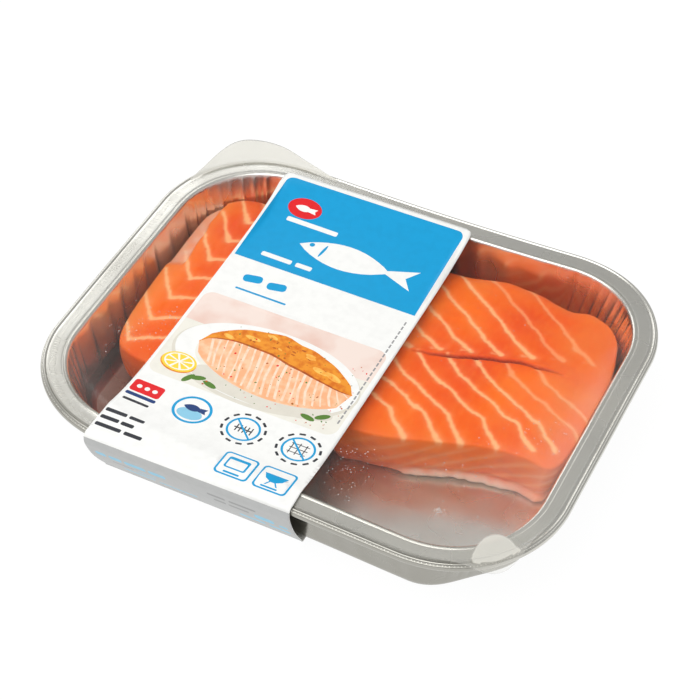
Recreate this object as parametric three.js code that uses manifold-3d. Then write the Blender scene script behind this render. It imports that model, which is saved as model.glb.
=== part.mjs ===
// A sealed pack of two raw salmon portions: foil tray, clear film lid, paper band label.
// Millimetres, +Z up. The long side lies along X and the label's side panel faces -Y.
// z = 0 is the face the pack rests on, the underside of the label's bottom panel.
import * as THREE from 'three';
import { mergeVertices } from 'three/addons/utils/BufferGeometryUtils.js';
import Module from 'manifold-3d';

// ---- driving dimensions ----
const gap = 0.3; // clearance between pieces that touch
const paper = 0.3; // label thickness
const filmThick = 0.25; // lid film thickness
const foil = 0.5; // tray wall thickness
const trayDepth = 28; // flange top above the tray's underside
const flangeHalfLength = 93.6; // outer edge of the flat flange, before the bead
const flangeHalfWidth = 78.4;
const flangeCornerRadius = 40.9;
const flangeWidth = 6.0;
const longSidePull = 3.3; // how far the long sides bow inwards at their middle
const wallTaper = 4.05; // how far the wall leans in from flange to floor
const floorRadius = 4.0; // rounding between wall and floor
const cornerInset = 4.4; // extra lean of the wall at the middle of each corner
const pleatDepth = 0.3; // depth of the corner pleats
const filmSag = 4.2; // how far the lid dips below the flange
const fishThick = 20.6; // portion thickness at its middle

const trayUnder = paper + gap;
const flangeTop = trayUnder + trayDepth;
const fishUnder = trayUnder + foil + gap;

// ---- mesh helpers ----
function closedMesh(positions, faces) {
  const geometry = new THREE.BufferGeometry();
  geometry.setAttribute('position', new THREE.Float32BufferAttribute(positions.flat(), 3));
  geometry.setIndex(faces.flat());
  return geometry;
}

// Joins a closed loop of rings (all with the same point count) into a ring-shaped skin.
function skinRings(rings, faces, loop) {
  const count = rings[0].length;
  const last = loop ? rings.length : rings.length - 1;
  for (let r = 0; r < last; r++) {
    const a = rings[r];
    const b = rings[(r + 1) % rings.length];
    for (let i = 0; i < count; i++) {
      const j = (i + 1) % count;
      faces.push([a[i], a[j], b[j]], [a[i], b[j], b[i]]);
    }
  }
}

function addRing(positions, points) {
  const start = positions.length;
  positions.push(...points);
  return points.map((p, i) => start + i);
}

// ---- the tray's outline, a rounded rectangle with its long sides pulled in ----
const cornerSteps = 14;
const longSteps = 9;
const shortSteps = 5;

function sidePull(x, y, halfLength, halfWidth) {
  const nearSide = Math.min(1, Math.abs(y) / halfWidth) ** 6;
  const along = Math.cos(Math.PI / 2 * THREE.MathUtils.clamp(x / halfLength, -1, 1));
  return longSidePull * nearSide * along;
}

// Points of the outline at an offset from the flange's outer edge, anticlockwise from above.
// inset pulls the middle of each corner in, pleat moves every other corner point in.
function outline(offset, inset = 0, pleat = 0) {
  const halfLength = flangeHalfLength + offset;
  const halfWidth = flangeHalfWidth + offset;
  const radius = flangeCornerRadius + offset;
  const centreX = halfLength - radius;
  const centreY = halfWidth - radius;
  const points = [];
  const corners = [[1, -1, -90], [1, 1, 0], [-1, 1, 90], [-1, -1, 180]];
  corners.forEach(([sx, sy, startAngle], c) => {
    for (let i = 0; i <= cornerSteps; i++) {
      const part = i / cornerSteps;
      const angle = THREE.MathUtils.degToRad(startAngle + 90 * part);
      const middle = Math.sin(Math.PI * part) ** 2;
      const reach = radius - inset * middle - (i % 2 === 1 ? pleat : 0);
      points.push([sx * centreX + reach * Math.cos(angle), sy * centreY + reach * Math.sin(angle)]);
    }
    const [nx, ny] = corners[(c + 1) % 4];
    const nextAngle = THREE.MathUtils.degToRad(startAngle + 90);
    const from = [sx * centreX + radius * Math.cos(nextAngle), sy * centreY + radius * Math.sin(nextAngle)];
    const to = [nx * centreX + radius * Math.cos(nextAngle), ny * centreY + radius * Math.sin(nextAngle)];
    const steps = c % 2 === 0 ? shortSteps : longSteps;
    for (let i = 1; i < steps; i++) {
      points.push([
        THREE.MathUtils.lerp(from[0], to[0], i / steps),
        THREE.MathUtils.lerp(from[1], to[1], i / steps),
      ]);
    }
  });
  return points.map(([x, y]) => {
    const pulled = y - Math.sign(y) * sidePull(x, y, halfLength, halfWidth);
    const [dx, dy] = stray(x, pulled);
    return [x + dx, pulled + dy];
  });
}

// A pressed foil rim strays from a true outline: where, which way, and over what reach.
const rimStrays = [
  { at: [50, -78], shift: [0, -1.6], reach: 48 },
  { at: [-72, -68], shift: [1.1, 1.6], reach: 30 },
];

function stray(x, y) {
  const total = [0, 0];
  rimStrays.forEach(({ at, shift, reach }) => {
    const share = Math.exp(-(((x - at[0]) ** 2 + (y - at[1]) ** 2) / reach ** 2));
    total[0] += shift[0] * share;
    total[1] += shift[1] * share;
  });
  return total;
}

function outlineRing(offset, z, inset = 0, pleat = 0) {
  return outline(offset, inset, pleat).map(([x, y]) => [x, y, z]);
}

// ---- tray ----
// Section points [offset from the flange edge, height below the flange top, pleat share].
function traySection() {
  const wallTop = -flangeWidth - 0.7;
  const wallFoot = wallTop - wallTaper;
  const innerFloor = foil - trayDepth;
  const inner = [
    [wallFoot + 0.4 - floorRadius, innerFloor, 0],
    [wallFoot - 0.7, innerFloor + 1.3, 0],
    [wallFoot + 0.35, innerFloor + floorRadius, 0.6],
    [wallTop - 0.45 * wallTaper, -12, 1],
    [wallTop - 0.1, -2.4, 0.7],
    [-flangeWidth - 0.35, -0.5, 0],
    [-flangeWidth + 0.3, 0, 0],
  ];
  const rim = [
    [0.6, -0.05, 0],
    [1.0, 0.25, 0],
    [1.5, 0.2, 0],
    [1.85, -0.3, 0],
    [2.3, -0.5, 0],
    [2.5, -1.1, 0],
    [2.4, -2.1, 0],
    [1.9, -2.6, 0],
    [1.3, -2.5, 0],
    [1.2, -0.7, 0],
  ];
  const outer = [
    [-flangeWidth + 0.5, -foil, 0],
    [wallTop + foil, -2.6, 0.7],
    [wallTop - 0.45 * wallTaper + foil, -12, 1],
    [wallFoot + 0.35 + foil, -trayDepth + floorRadius, 0.6],
    [wallFoot - 0.35, -trayDepth + 1.1, 0],
    [wallFoot + 0.4 - floorRadius, -trayDepth, 0],
  ];
  return [...inner, ...rim, ...outer];
}

function sectionRing([offset, height, pleat]) {
  const depthShare = THREE.MathUtils.clamp(-height / trayDepth, 0, 1);
  const isWall = offset < -flangeWidth;
  return outlineRing(offset, flangeTop + height, isWall ? cornerInset * depthShare : 0, pleatDepth * pleat);
}

// Fills a flat ring with a fan of strips towards its centre.
function capRing(positions, faces, ring, facingUp) {
  const z = positions[ring[0]][2];
  const centre = positions.length;
  positions.push([0, 0, z]);
  ring.forEach((a, i) => {
    const b = ring[(i + 1) % ring.length];
    faces.push(facingUp ? [a, b, centre] : [b, a, centre]);
  });
}

function trayGeometry() {
  const positions = [];
  const faces = [];
  const rings = traySection().map((point) => addRing(positions, sectionRing(point)));
  capRing(positions, faces, rings[0], true);
  // The section runs from the floor up the inside and down the outside, so its skin is turned.
  const turned = [];
  skinRings(rings, turned, false);
  turned.forEach(([a, b, c]) => faces.push([a, c, b]));
  capRing(positions, faces, rings[rings.length - 1], false);
  return closedMesh(positions, faces);
}

// Moves a place that is too near the wall's inner face back to a clearance from it.
const wallClearance = 0.9;

function keepInTray([placeX, placeY, z]) {
  const [dx, dy] = stray(placeX, placeY);
  const x = placeX - dx;
  const y = placeY - dy;
  const depth = THREE.MathUtils.clamp(flangeTop - z, 0, trayDepth - foil);
  const rounding = Math.max(0, depth - (trayDepth - foil - floorRadius)) / floorRadius;
  const lean = wallTaper * Math.min(1, depth / (trayDepth - foil - floorRadius));
  const offset = -flangeWidth - 0.8 - lean - floorRadius * (1 - Math.sqrt(1 - rounding ** 2)) - wallClearance;
  const centreX = flangeHalfLength - flangeCornerRadius;
  const centreY = flangeHalfWidth - flangeCornerRadius;
  const beyondX = Math.abs(x) - centreX;
  const beyondY = Math.abs(y) - centreY;
  if (beyondX > 0 && beyondY > 0) {
    const angle = Math.atan2(beyondY, beyondX);
    const inset = cornerInset * (depth / trayDepth) * Math.sin(2 * angle) ** 2;
    const limit = flangeCornerRadius + offset - inset - pleatDepth;
    const share = Math.min(1, limit / Math.hypot(beyondX, beyondY));
    return [Math.sign(x) * (centreX + beyondX * share) + dx, Math.sign(y) * (centreY + beyondY * share) + dy, z];
  }
  const pull = sidePull(x, flangeHalfWidth, flangeHalfLength, flangeHalfWidth);
  const limitX = flangeHalfLength + offset;
  const limitY = flangeHalfWidth + offset - pull;
  return [THREE.MathUtils.clamp(x, -limitX, limitX) + dx, THREE.MathUtils.clamp(y, -limitY, limitY) + dy, z];
}

// ---- lid film ----
// How far the film dips at a place: none at the flange, nearly even over the middle.
function sag(x, y) {
  const [dx, dy] = stray(x, y);
  const acrossX = Math.abs(x - dx) / (flangeHalfLength - flangeWidth);
  const acrossY = Math.abs(y - dy) / (flangeHalfWidth - flangeWidth - longSidePull);
  const reach = Math.min(1, (acrossX ** 4 + acrossY ** 4) ** 0.25);
  return filmSag * (1 - reach ** 5);
}

// How far the film stands out past the flange: a pull tab at the back-left corner,
// a shorter one that hangs down over the rim at the front-right corner.
const tabBack = { angle: 125, spread: 19, reach: 12.2 };
const tabFront = { angle: -46, spread: 16, reach: 6.2 };
const tabClear = 3.3; // reach at which the hanging tab has cleared the bead
const tabHang = 0.9; // its slope beyond that

function tabShare(tab, x, y) {
  const sideX = Math.sign(Math.cos(THREE.MathUtils.degToRad(tab.angle)));
  const sideY = Math.sign(Math.sin(THREE.MathUtils.degToRad(tab.angle)));
  const centreX = sideX * (flangeHalfLength - flangeCornerRadius);
  const centreY = sideY * (flangeHalfWidth - flangeCornerRadius);
  const angle = THREE.MathUtils.radToDeg(Math.atan2(y - centreY, x - centreX));
  let turn = angle - tab.angle;
  turn -= 360 * Math.round(turn / 360);
  const nearCorner = x * sideX > centreX * sideX - 15 && y * sideY > centreY * sideY - 15;
  return nearCorner ? Math.exp(-((turn / tab.spread) ** 2)) : 0;
}

// Film rows outside the flange: share of the tab's reach, and the height over the bead.
const filmRows = [{ along: 0.35, rise: 0.7 }, { along: 1, rise: 1.3 }];

function filmOuterRow(row) {
  const edge = outline(-0.4);
  const outward = outline(0.6);
  return edge.map(([x, y], i) => {
    const back = tabShare(tabBack, x, y) * tabBack.reach;
    const front = tabShare(tabFront, x, y) * tabFront.reach;
    const reach = row.along * (back + front + 0.1);
    const hang = front > back ? tabHang * Math.max(0, reach - tabClear) : 0;
    const dx = outward[i][0] - x;
    const dy = outward[i][1] - y;
    const length = Math.hypot(dx, dy);
    return [x + dx / length * reach, y + dy / length * reach, Math.min(row.rise, 0.8 * reach) - hang];
  });
}

function filmGeometry() {
  const shares = [0.45, 0.75, 0.9, 1];
  const innerEdge = outline(-flangeWidth + 0.2);
  const rows = shares.map((share) => innerEdge.map(([x, y]) => [x * share, y * share, -sag(x * share, y * share)]));
  rows.push(outline(-0.4).map(([x, y]) => [x, y, 0]));
  filmRows.forEach((row) => rows.push(filmOuterRow(row)));
  const positions = [];
  const faces = [];
  const base = flangeTop + gap;
  const top = rows.map((row) => addRing(positions, row.map(([x, y, z]) => [x, y, base + filmThick + z])));
  const under = rows.map((row) => addRing(positions, row.map(([x, y, z]) => [x, y, base + z])));
  const fill = (rings, height, facingUp) => {
    const centre = positions.length;
    positions.push([0, 0, height - sag(0, 0)]);
    rings[0].forEach((a, i) => {
      const b = rings[0][(i + 1) % rings[0].length];
      faces.push(facingUp ? [a, b, centre] : [b, a, centre]);
    });
    const strip = [];
    skinRings(rings, strip, false);
    strip.forEach(([a, b, c]) => faces.push(facingUp ? [a, c, b] : [a, b, c]));
  };
  fill(top, base + filmThick, true);
  fill(under, base, false);
  const edge = [];
  skinRings([top[top.length - 1], under[under.length - 1]], edge, false);
  edge.forEach(([a, b, c]) => faces.push([a, c, b]));
  return closedMesh(positions, faces);
}

// ---- salmon portions ----
// Square grid wrapped onto a closed outline: its outer cells follow the outline.
function wrapGrid(curve, centre, steps) {
  const places = [];
  for (let j = 0; j <= steps; j++) {
    for (let i = 0; i <= steps; i++) {
      const u = 2 * i / steps - 1;
      const v = 2 * j / steps - 1;
      const reach = Math.max(Math.abs(u), Math.abs(v));
      const edge = reach === 0 ? centre : curve.getPointAt(perimeterShare(u / reach, v / reach) % 1);
      places.push({
        x: THREE.MathUtils.lerp(centre.x, edge.x, reach),
        y: THREE.MathUtils.lerp(centre.y, edge.y, reach),
        reach,
      });
    }
  }
  return places;
}

function perimeterShare(u, v) {
  if (v <= -1) return (u + 1) / 8;
  if (u >= 1) return 0.25 + (v + 1) / 8;
  if (v >= 1) return 0.5 + (1 - u) / 8;
  return 0.75 + (1 - v) / 8;
}

function gridBorder(steps) {
  const border = [];
  for (let i = 0; i < steps; i++) border.push([i, 0]);
  for (let j = 0; j < steps; j++) border.push([steps, j]);
  for (let i = steps; i > 0; i--) border.push([i, steps]);
  for (let j = steps; j > 0; j--) border.push([0, j]);
  return border.map(([i, j]) => j * (steps + 1) + i);
}

const domeRise = 0.7; // the portion's top over its edge
const shoulderDrop = 1.2; // how far the rounded edge falls

// A portion: domed top with flake relief, rounded shoulder, cut sides and a flat underside.
function portionGeometry({ points, middle, lean, relief, steps = 26 }) {
  const curve = new THREE.CatmullRomCurve3(points.map(([x, y]) => new THREE.Vector3(x, y, 0)), true);
  curve.arcLengthDivisions = 600;
  const centre = new THREE.Vector3(middle[0], middle[1], 0);
  const places = wrapGrid(curve, centre, steps);
  const positions = places.map(({ x, y, reach }) => {
    const dome = domeRise * (1 - reach ** 2);
    const shoulder = shoulderDrop * reach ** 18;
    const top = fishUnder + fishThick - domeRise + dome - shoulder;
    return keepInTray([x, y, top + relief(x, y) * (1 - reach ** 6)]);
  });
  const faces = [];
  for (let j = 0; j < steps; j++) {
    for (let i = 0; i < steps; i++) {
      const a = j * (steps + 1) + i;
      const b = a + steps + 1;
      faces.push([a, a + 1, b + 1], [a, b + 1, b]);
    }
  }
  // Side rows: [share of the height, share of the lean towards the foot, bulge].
  const sideRows = [[0.78, 0.1, 0.6], [0.3, 0.55, 0.8], [0.06, 0.9, -0.2], [0, 1, -1.6]];
  const border = gridBorder(steps);
  const rings = [border];
  sideRows.forEach(([height, leanShare, bulge]) => {
    rings.push(addRing(positions, border.map((index) => {
      const [x, y, top] = positions[index];
      const away = new THREE.Vector2(x - centre.x, y - centre.y).normalize();
      return keepInTray([
        x - lean[0] * leanShare * (x - centre.x) + away.x * bulge,
        y - lean[1] * leanShare * (y - centre.y) + away.y * bulge,
        THREE.MathUtils.lerp(fishUnder, top, height),
      ]);
    })));
  });
  const sides = [];
  skinRings(rings, sides, false);
  sides.forEach(([a, b, c]) => faces.push([a, c, b]));
  const foot = rings[rings.length - 1];
  const flat = foot.map((index) => new THREE.Vector2(positions[index][0], positions[index][1]));
  THREE.ShapeUtils.triangulateShape(flat, []).forEach(([a, b, c]) => faces.push([foot[c], foot[b], foot[a]]));
  return closedMesh(positions, faces);
}

// Left portion: chevron flakes that point to the front, 12.1 mm apart.
function chevronRelief(x, y) {
  const spine = -66.2 - 0.108 * (48.5 - y);
  const slope = x < spine ? 1.45 : 0.6;
  const phase = (y - slope * Math.abs(x - spine)) / 12.1;
  return -0.3 * Math.cos(2 * Math.PI * (phase + 0.1));
}

// Right portion: flakes that run from the back left to the front right, 7.9 mm apart.
function diagonalRelief(x, y) {
  const across = (x - 38.8) * Math.sin(0.66) + y * Math.cos(0.66);
  return -0.3 * Math.cos(2 * Math.PI * across / 7.9);
}

const leftOutline = [
  [-77, -27], [-71, -31], [-62, -32.5], [-42, -33], [-18, -32], [-5.5, -30], [-2, -24],
  [-1.3, 0], [-1.5, 38], [-4, 57], [-11, 60.5], [-33, 62.5], [-63, 61.5], [-70, 60.8],
  [-76, 58], [-80, 53.4], [-82, 47], [-82.3, 37.4], [-82, 24.3], [-81.4, 5], [-80, -15],
];
const rightOutline = [
  [3.5, -28], [14, -29], [23, -28], [32, -25.5], [43, -21.5], [52, -18.5], [61, -16.2],
  [72, -15.5], [80, -16.5], [83.5, -11], [84.8, 5], [84.8, 19], [84, 33], [82, 43.5],
  [79.5, 51], [75, 56.5], [70, 59], [65.5, 59.8], [60, 58.3], [54, 59.2], [47, 61.2],
  [40, 61.8], [34, 62.2], [28, 60.8], [20, 58.5], [9, 57], [4, 53], [2.4, 38], [2.2, 0],
];
// The split runs along the right portion's top: [x, y] of its middle, its length and turn.
const split = { middle: [42.5, 20.5], length: 52, width: 2.2, depth: 3.2, turn: 0.26 };

// ---- label ----
const labelBack = 72; // the label's straight end on the back flange
const labelLeft = -61.2;
const labelRight = 15.2;
const labelWaist = 0.7; // how far its long edges draw in over the middle
const labelSkew = [0.009, 0.005]; // drift of its left and right edge towards +X per mm to the front
const labelLean = -1.6; // drift of both on the way down the front panel
const labelCorner = 3.5;
const labelUnderEnd = 40; // where the bottom panel ends
const labelFront = 79.6; // distance of its front fold from the middle
const bendRadius = 1.0; // rounding of that fold
const labelFootLine = 66.4; // where its front panel meets the ground
const labelFootTurn = 0.018; // that line's slant
const labelLevel = -70.2; // where its top panel leaves the dip and lies level on the flange
const sagRows = 24;
const levelRows = 3;

function footLine(x) {
  return -labelFootLine - labelFootTurn * (x - (labelLeft + labelRight) / 2);
}

// One row across the label: its side edges and the height or offset of its middle surface.
function labelRows() {
  const rows = [];
  const cornerTurns = [0, 0.3, 0.6, 1];
  cornerTurns.forEach((share) => {
    const inset = labelCorner * (1 - Math.cos(Math.asin(1 - share)));
    rows.push({ kind: 'top', y: labelBack - labelCorner * share, inset });
  });
  const topStart = labelBack - labelCorner;
  for (let i = 1; i <= sagRows; i++) {
    rows.push({ kind: 'top', y: THREE.MathUtils.lerp(topStart, labelLevel, i / sagRows) });
  }
  for (let i = 1; i <= levelRows; i++) {
    rows.push({ kind: 'top', y: THREE.MathUtils.lerp(labelLevel, -labelFront + bendRadius, i / levelRows) });
  }
  [22.5, 45, 67.5, 90].forEach((turn) => rows.push({ kind: 'bend', turn }));
  [0, 0.15, 0.35, 0.6, 0.85].forEach((share) => rows.push({ kind: 'front', share }));
  [20, 45, 70, 90].forEach((turn) => rows.push({ kind: 'foot', turn }));
  [0.1, 0.4, 0.7, 1].forEach((share) => rows.push({ kind: 'under', share }));
  return rows;
}

function labelMiddle(row, x) {
  const over = flangeTop + 2 * gap + filmThick + paper / 2;
  const footStart = { y: footLine(x), z: 1.6 };
  const bendStart = -labelFront + bendRadius;
  if (row.kind === 'top') {
    return [row.y, over - sag(x, row.y)];
  }
  if (row.kind === 'bend') {
    const angle = THREE.MathUtils.degToRad(row.turn);
    return [bendStart - bendRadius * Math.sin(angle), over - bendRadius * (1 - Math.cos(angle))];
  }
  const frontTop = { y: -labelFront, z: flangeTop - 3.0 };
  if (row.kind === 'front') {
    const bulge = 1.0 * Math.sin(Math.PI * row.share);
    return [
      THREE.MathUtils.lerp(frontTop.y, footStart.y, row.share) - bulge,
      THREE.MathUtils.lerp(frontTop.z, footStart.z, row.share),
    ];
  }
  const footRadius = footStart.z - paper / 2;
  if (row.kind === 'foot') {
    const angle = THREE.MathUtils.degToRad(row.turn);
    return [footStart.y + footRadius * (1 - Math.cos(angle)), paper / 2 + footRadius * (1 - Math.sin(angle))];
  }
  return [THREE.MathUtils.lerp(footStart.y + footRadius, labelUnderEnd, row.share), paper / 2];
}

function labelSides(row, y) {
  const onTop = row.kind === 'top';
  const inset = row.inset ?? 0;
  const middle = onTop ? labelWaist * (1 - Math.min(1, Math.abs(y) / 76) ** 5) : 0;
  const along = onTop ? labelBack - y : labelBack + labelFront;
  const down = { top: 0, bend: 0, front: row.share }[row.kind] ?? 1;
  return [
    labelLeft + inset + middle + labelSkew[0] * along + labelLean * down,
    labelRight - inset - middle + labelSkew[1] * along + labelLean * down,
  ];
}

function labelGeometry() {
  const columns = 6;
  const rows = labelRows();
  const middle = rows.map((row) => {
    const [left, right] = labelSides(row, labelMiddle(row, 0)[0]);
    const line = [];
    for (let c = 0; c <= columns; c++) {
      const x = THREE.MathUtils.lerp(left, right, c / columns);
      const [y, z] = labelMiddle(row, x);
      line.push(new THREE.Vector3(x, y, z));
    }
    return line;
  });
  const positions = [];
  const side = (sign) => middle.map((line, r) => line.map((point, c) => {
    const before = middle[Math.max(0, r - 1)][c];
    const after = middle[Math.min(rows.length - 1, r + 1)][c];
    const along = after.clone().sub(before).setX(0).normalize();
    const normal = new THREE.Vector3(0, along.z, -along.y).multiplyScalar(sign * paper / 2);
    positions.push(point.clone().add(normal).toArray());
    return positions.length - 1;
  }));
  const outside = side(1);
  const inside = side(-1);
  const faces = [];
  const sheet = (grid, flip) => {
    for (let r = 0; r < grid.length - 1; r++) {
      for (let c = 0; c < columns; c++) {
        const quad = [grid[r][c], grid[r + 1][c], grid[r + 1][c + 1], grid[r][c + 1]];
        if (flip) quad.reverse();
        faces.push([quad[0], quad[1], quad[2]], [quad[0], quad[2], quad[3]]);
      }
    }
  };
  sheet(outside, false);
  sheet(inside, true);
  const rimOf = (grid) => [
    ...grid.map((line) => line[0]),
    ...grid[grid.length - 1].slice(1, columns),
    ...grid.map((line) => line[columns]).reverse(),
    ...grid[0].slice(1, columns).reverse(),
  ];
  const edge = [];
  skinRings([rimOf(outside), rimOf(inside)], edge, false);
  edge.forEach(([a, b, c]) => faces.push([a, c, b]));
  return closedMesh(positions, faces);
}

// ---- booleans ----
const wasm = await Module();
wasm.setup();

function toSolid(geometry) {
  const bare = geometry.clone();
  bare.deleteAttribute('normal');
  bare.deleteAttribute('uv');
  const merged = mergeVertices(bare, 1e-5);
  return new wasm.Manifold(new wasm.Mesh({
    numProp: 3,
    vertProperties: new Float32Array(merged.attributes.position.array),
    triVerts: new Uint32Array(merged.index.array),
  }));
}

function toGeometry(solid) {
  const mesh = solid.getMesh();
  const geometry = new THREE.BufferGeometry();
  geometry.setAttribute('position', new THREE.BufferAttribute(new Float32Array(mesh.vertProperties), 3));
  geometry.setIndex(new THREE.BufferAttribute(new Uint32Array(mesh.triVerts), 1));
  return geometry;
}

// A long lens that cuts the split into the right portion's top.
function splitGeometry() {
  const lens = new THREE.SphereGeometry(0.5, 14, 8);
  lens.scale(split.length, split.width, 2 * split.depth);
  lens.rotateZ(split.turn);
  lens.translate(split.middle[0], split.middle[1], fishUnder + fishThick - 0.3);
  return lens;
}

// ---- the pack ----
const looks = {
  foil: { color: 0xb4b5ae, roughness: 0.32, metalness: 1 },
  film: { color: 0xf3f4f0, roughness: 0.1, metalness: 0, transparent: true, opacity: 0.25 },
  paper: { color: 0xf2f2ef, roughness: 0.6, metalness: 0 },
  salmon: { color: 0xf0743c, roughness: 0.35, metalness: 0 },
};

const pack = new THREE.Group();

function addPiece(name, geometry, look) {
  const piece = new THREE.Mesh(geometry, new THREE.MeshStandardMaterial(look));
  piece.name = name;
  pack.add(piece);
}

const rightWhole = portionGeometry({
  points: rightOutline, middle: [43, 20], lean: [0.11, 0.05], relief: diagonalRelief,
});
const rightSplit = toSolid(rightWhole).subtract(toSolid(splitGeometry()));

addPiece('tray', trayGeometry(), looks.foil);
addPiece('film_lid', filmGeometry(), looks.film);
addPiece('fillet_left', portionGeometry({
  points: leftOutline, middle: [-42, 15], lean: [0.08, 0.05], relief: chevronRelief,
}), looks.salmon);
addPiece('fillet_right', toGeometry(rightSplit), looks.salmon);
addPiece('label', labelGeometry(), looks.paper);

export default pack;
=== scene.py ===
import math
import bpy
import numpy as np
from mathutils import Euler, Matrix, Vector
from mathutils.geometry import delaunay_2d_cdt


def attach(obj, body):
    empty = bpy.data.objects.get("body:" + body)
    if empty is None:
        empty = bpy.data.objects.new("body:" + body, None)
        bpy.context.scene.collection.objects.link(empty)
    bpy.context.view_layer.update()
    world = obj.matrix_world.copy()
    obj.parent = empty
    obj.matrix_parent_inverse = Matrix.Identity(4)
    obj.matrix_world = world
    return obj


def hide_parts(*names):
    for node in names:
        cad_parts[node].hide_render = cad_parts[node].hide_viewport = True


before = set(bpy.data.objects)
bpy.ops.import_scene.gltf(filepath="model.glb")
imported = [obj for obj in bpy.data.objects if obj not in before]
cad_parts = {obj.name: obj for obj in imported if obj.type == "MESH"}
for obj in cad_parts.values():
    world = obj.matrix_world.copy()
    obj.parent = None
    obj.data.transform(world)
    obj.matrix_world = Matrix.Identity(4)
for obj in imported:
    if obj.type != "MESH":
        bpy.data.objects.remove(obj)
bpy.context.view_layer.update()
mm = 0.001

# The pack's driving sizes in mm, the same as its solids have.
pack = {
    "gap": 0.3, "paper": 0.3, "film": 0.25, "foil": 0.5, "trayDepth": 28.0,
    "halfLength": 93.6, "halfWidth": 78.4, "cornerRadius": 40.9, "flangeWidth": 6.0,
    "longSidePull": 3.3, "wallTaper": 4.05, "floorRadius": 4.0, "cornerInset": 4.4,
    "filmSag": 4.2, "fishThick": 20.6,
}
flangeTop = pack["paper"] + pack["gap"] + pack["trayDepth"]
fishUnder = pack["paper"] + 2 * pack["gap"] + pack["foil"]
centreX = pack["halfLength"] - pack["cornerRadius"]
centreY = pack["halfWidth"] - pack["cornerRadius"]


def ink(red, green, blue):
    # a colour given as 0-255 screen values, turned linear
    parts = [c / 255 for c in (red, green, blue)]
    return tuple(c / 12.92 if c <= 0.04045 else ((c + 0.055) / 1.055) ** 2.4 for c in parts) + (1.0,)


def waves(x, y, size, seed, count=9):
    # soft noise between about -1 and 1: plane waves in fixed random directions
    rng = np.random.default_rng(seed)
    total = 0
    for _ in range(count):
        turn, phase = rng.uniform(0, 2 * math.pi, 2)
        pitch = size * rng.uniform(0.7, 1.5)
        total = total + np.sin(2 * math.pi * (x * math.cos(turn) + y * math.sin(turn)) / pitch + phase)
    return total / math.sqrt(2 * count)


def smoothStep(value, low, high):
    share = np.clip((value - low) / (high - low), 0, 1)
    return share * share * (3 - 2 * share)


def ringFaces(first, second, count):
    # quads between two closed rings of vertices, each given by its first vertex
    return [(first + i, first + (i + 1) % count, second + (i + 1) % count, second + i) for i in range(count)]


def gridFaces(rows, count):
    return [face for row in range(rows - 1) for face in ringFaces(row * count, (row + 1) * count, count)]


def fanFaces(first, middle, count):
    return [(first + i, first + (i + 1) % count, middle) for i in range(count)]


def flipped(faces):
    return [tuple(reversed(face)) for face in faces]


def makePiece(name, points, faces, materials, faceMaterials=None, values=None):
    # points in mm; values are named numbers, one for each vertex, that a material reads
    mesh = bpy.data.meshes.new(name)
    mesh.from_pydata((np.asarray(points) * mm).tolist(), [], faces)
    for material in materials:
        mesh.materials.append(material)
    if faceMaterials is not None:
        mesh.polygons.foreach_set("material_index", faceMaterials)
    for label, numbers in (values or {}).items():
        layer = mesh.attributes.new(label, "FLOAT", "POINT")
        layer.data.foreach_set("value", np.asarray(numbers, dtype=np.float32))
    mesh.polygons.foreach_set("use_smooth", [True] * len(mesh.polygons))
    mesh.update()
    piece = bpy.data.objects.new(name, mesh)
    bpy.context.scene.collection.objects.link(piece)
    return piece


def place(piece, slot, *nodes):
    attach(piece, "root")
    if nodes:
        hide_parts(*nodes)


def rimLayout(cornerSteps, longSteps, shortSteps):
    # for each point round the rim: its corner's centre, the way out, and how near a corner's middle it is
    centres, normals, middles = [], [], []
    corners = [(1, -1, -90), (1, 1, 0), (-1, 1, 90), (-1, -1, 180)]
    for index, (sideX, sideY, start) in enumerate(corners):
        for i in range(cornerSteps + 1):
            turn = math.radians(start + 90 * i / cornerSteps)
            centres.append((sideX * centreX, sideY * centreY))
            normals.append((math.cos(turn), math.sin(turn)))
            middles.append(math.sin(math.pi * i / cornerSteps) ** 2)
        nextX, nextY, _ = corners[(index + 1) % 4]
        turn = math.radians(start + 90)
        steps = shortSteps if index % 2 == 0 else longSteps
        for i in range(1, steps):
            share = i / steps
            x, y = sideX + (nextX - sideX) * share, sideY + (nextY - sideY) * share
            centres.append((centreX * x, centreY * y))
            normals.append((math.cos(turn), math.sin(turn)))
            middles.append(0.0)
    return np.array(centres), np.array(normals), np.array(middles)


def sidePull(x, y, halfLength, halfWidth):
    near = np.minimum(1, np.abs(y) / halfWidth) ** 6
    return pack["longSidePull"] * near * np.cos(math.pi / 2 * np.clip(x / halfLength, -1, 1))


# A pressed foil rim strays from a true outline: where, which way, and over what reach.
rimStrays = [((50, -78), (0, -1.6), 48), ((-72, -68), (1.1, 1.6), 30)]


def stray(x, y):
    shiftX, shiftY = 0, 0
    for (atX, atY), (dx, dy), reach in rimStrays:
        share = np.exp(-((x - atX) ** 2 + (y - atY) ** 2) / reach ** 2)
        shiftX, shiftY = shiftX + dx * share, shiftY + dy * share
    return shiftX, shiftY


def rimPoints(layout, offset, inset=0.0):
    # plan points at an offset out from the flange's edge
    centres, normals, middles = layout
    reach = pack["cornerRadius"] + offset - inset * middles
    spots = centres + normals * np.reshape(reach, (-1, 1))
    x, y = spots[:, 0], spots[:, 1]
    mean = float(np.mean(offset))
    y = y - np.sign(y) * sidePull(x, y, pack["halfLength"] + mean, pack["halfWidth"] + mean)
    dx, dy = stray(x, y)
    return x + dx, y + dy


def sag(x, y):
    # how far the lid dips at a place
    dx, dy = stray(x, y)
    acrossX = np.abs(x - dx) / (pack["halfLength"] - pack["flangeWidth"])
    acrossY = np.abs(y - dy) / (pack["halfWidth"] - pack["flangeWidth"] - pack["longSidePull"])
    reach = np.minimum(1, (acrossX ** 4 + acrossY ** 4) ** 0.25)
    return pack["filmSag"] * (1 - reach ** 5)


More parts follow.
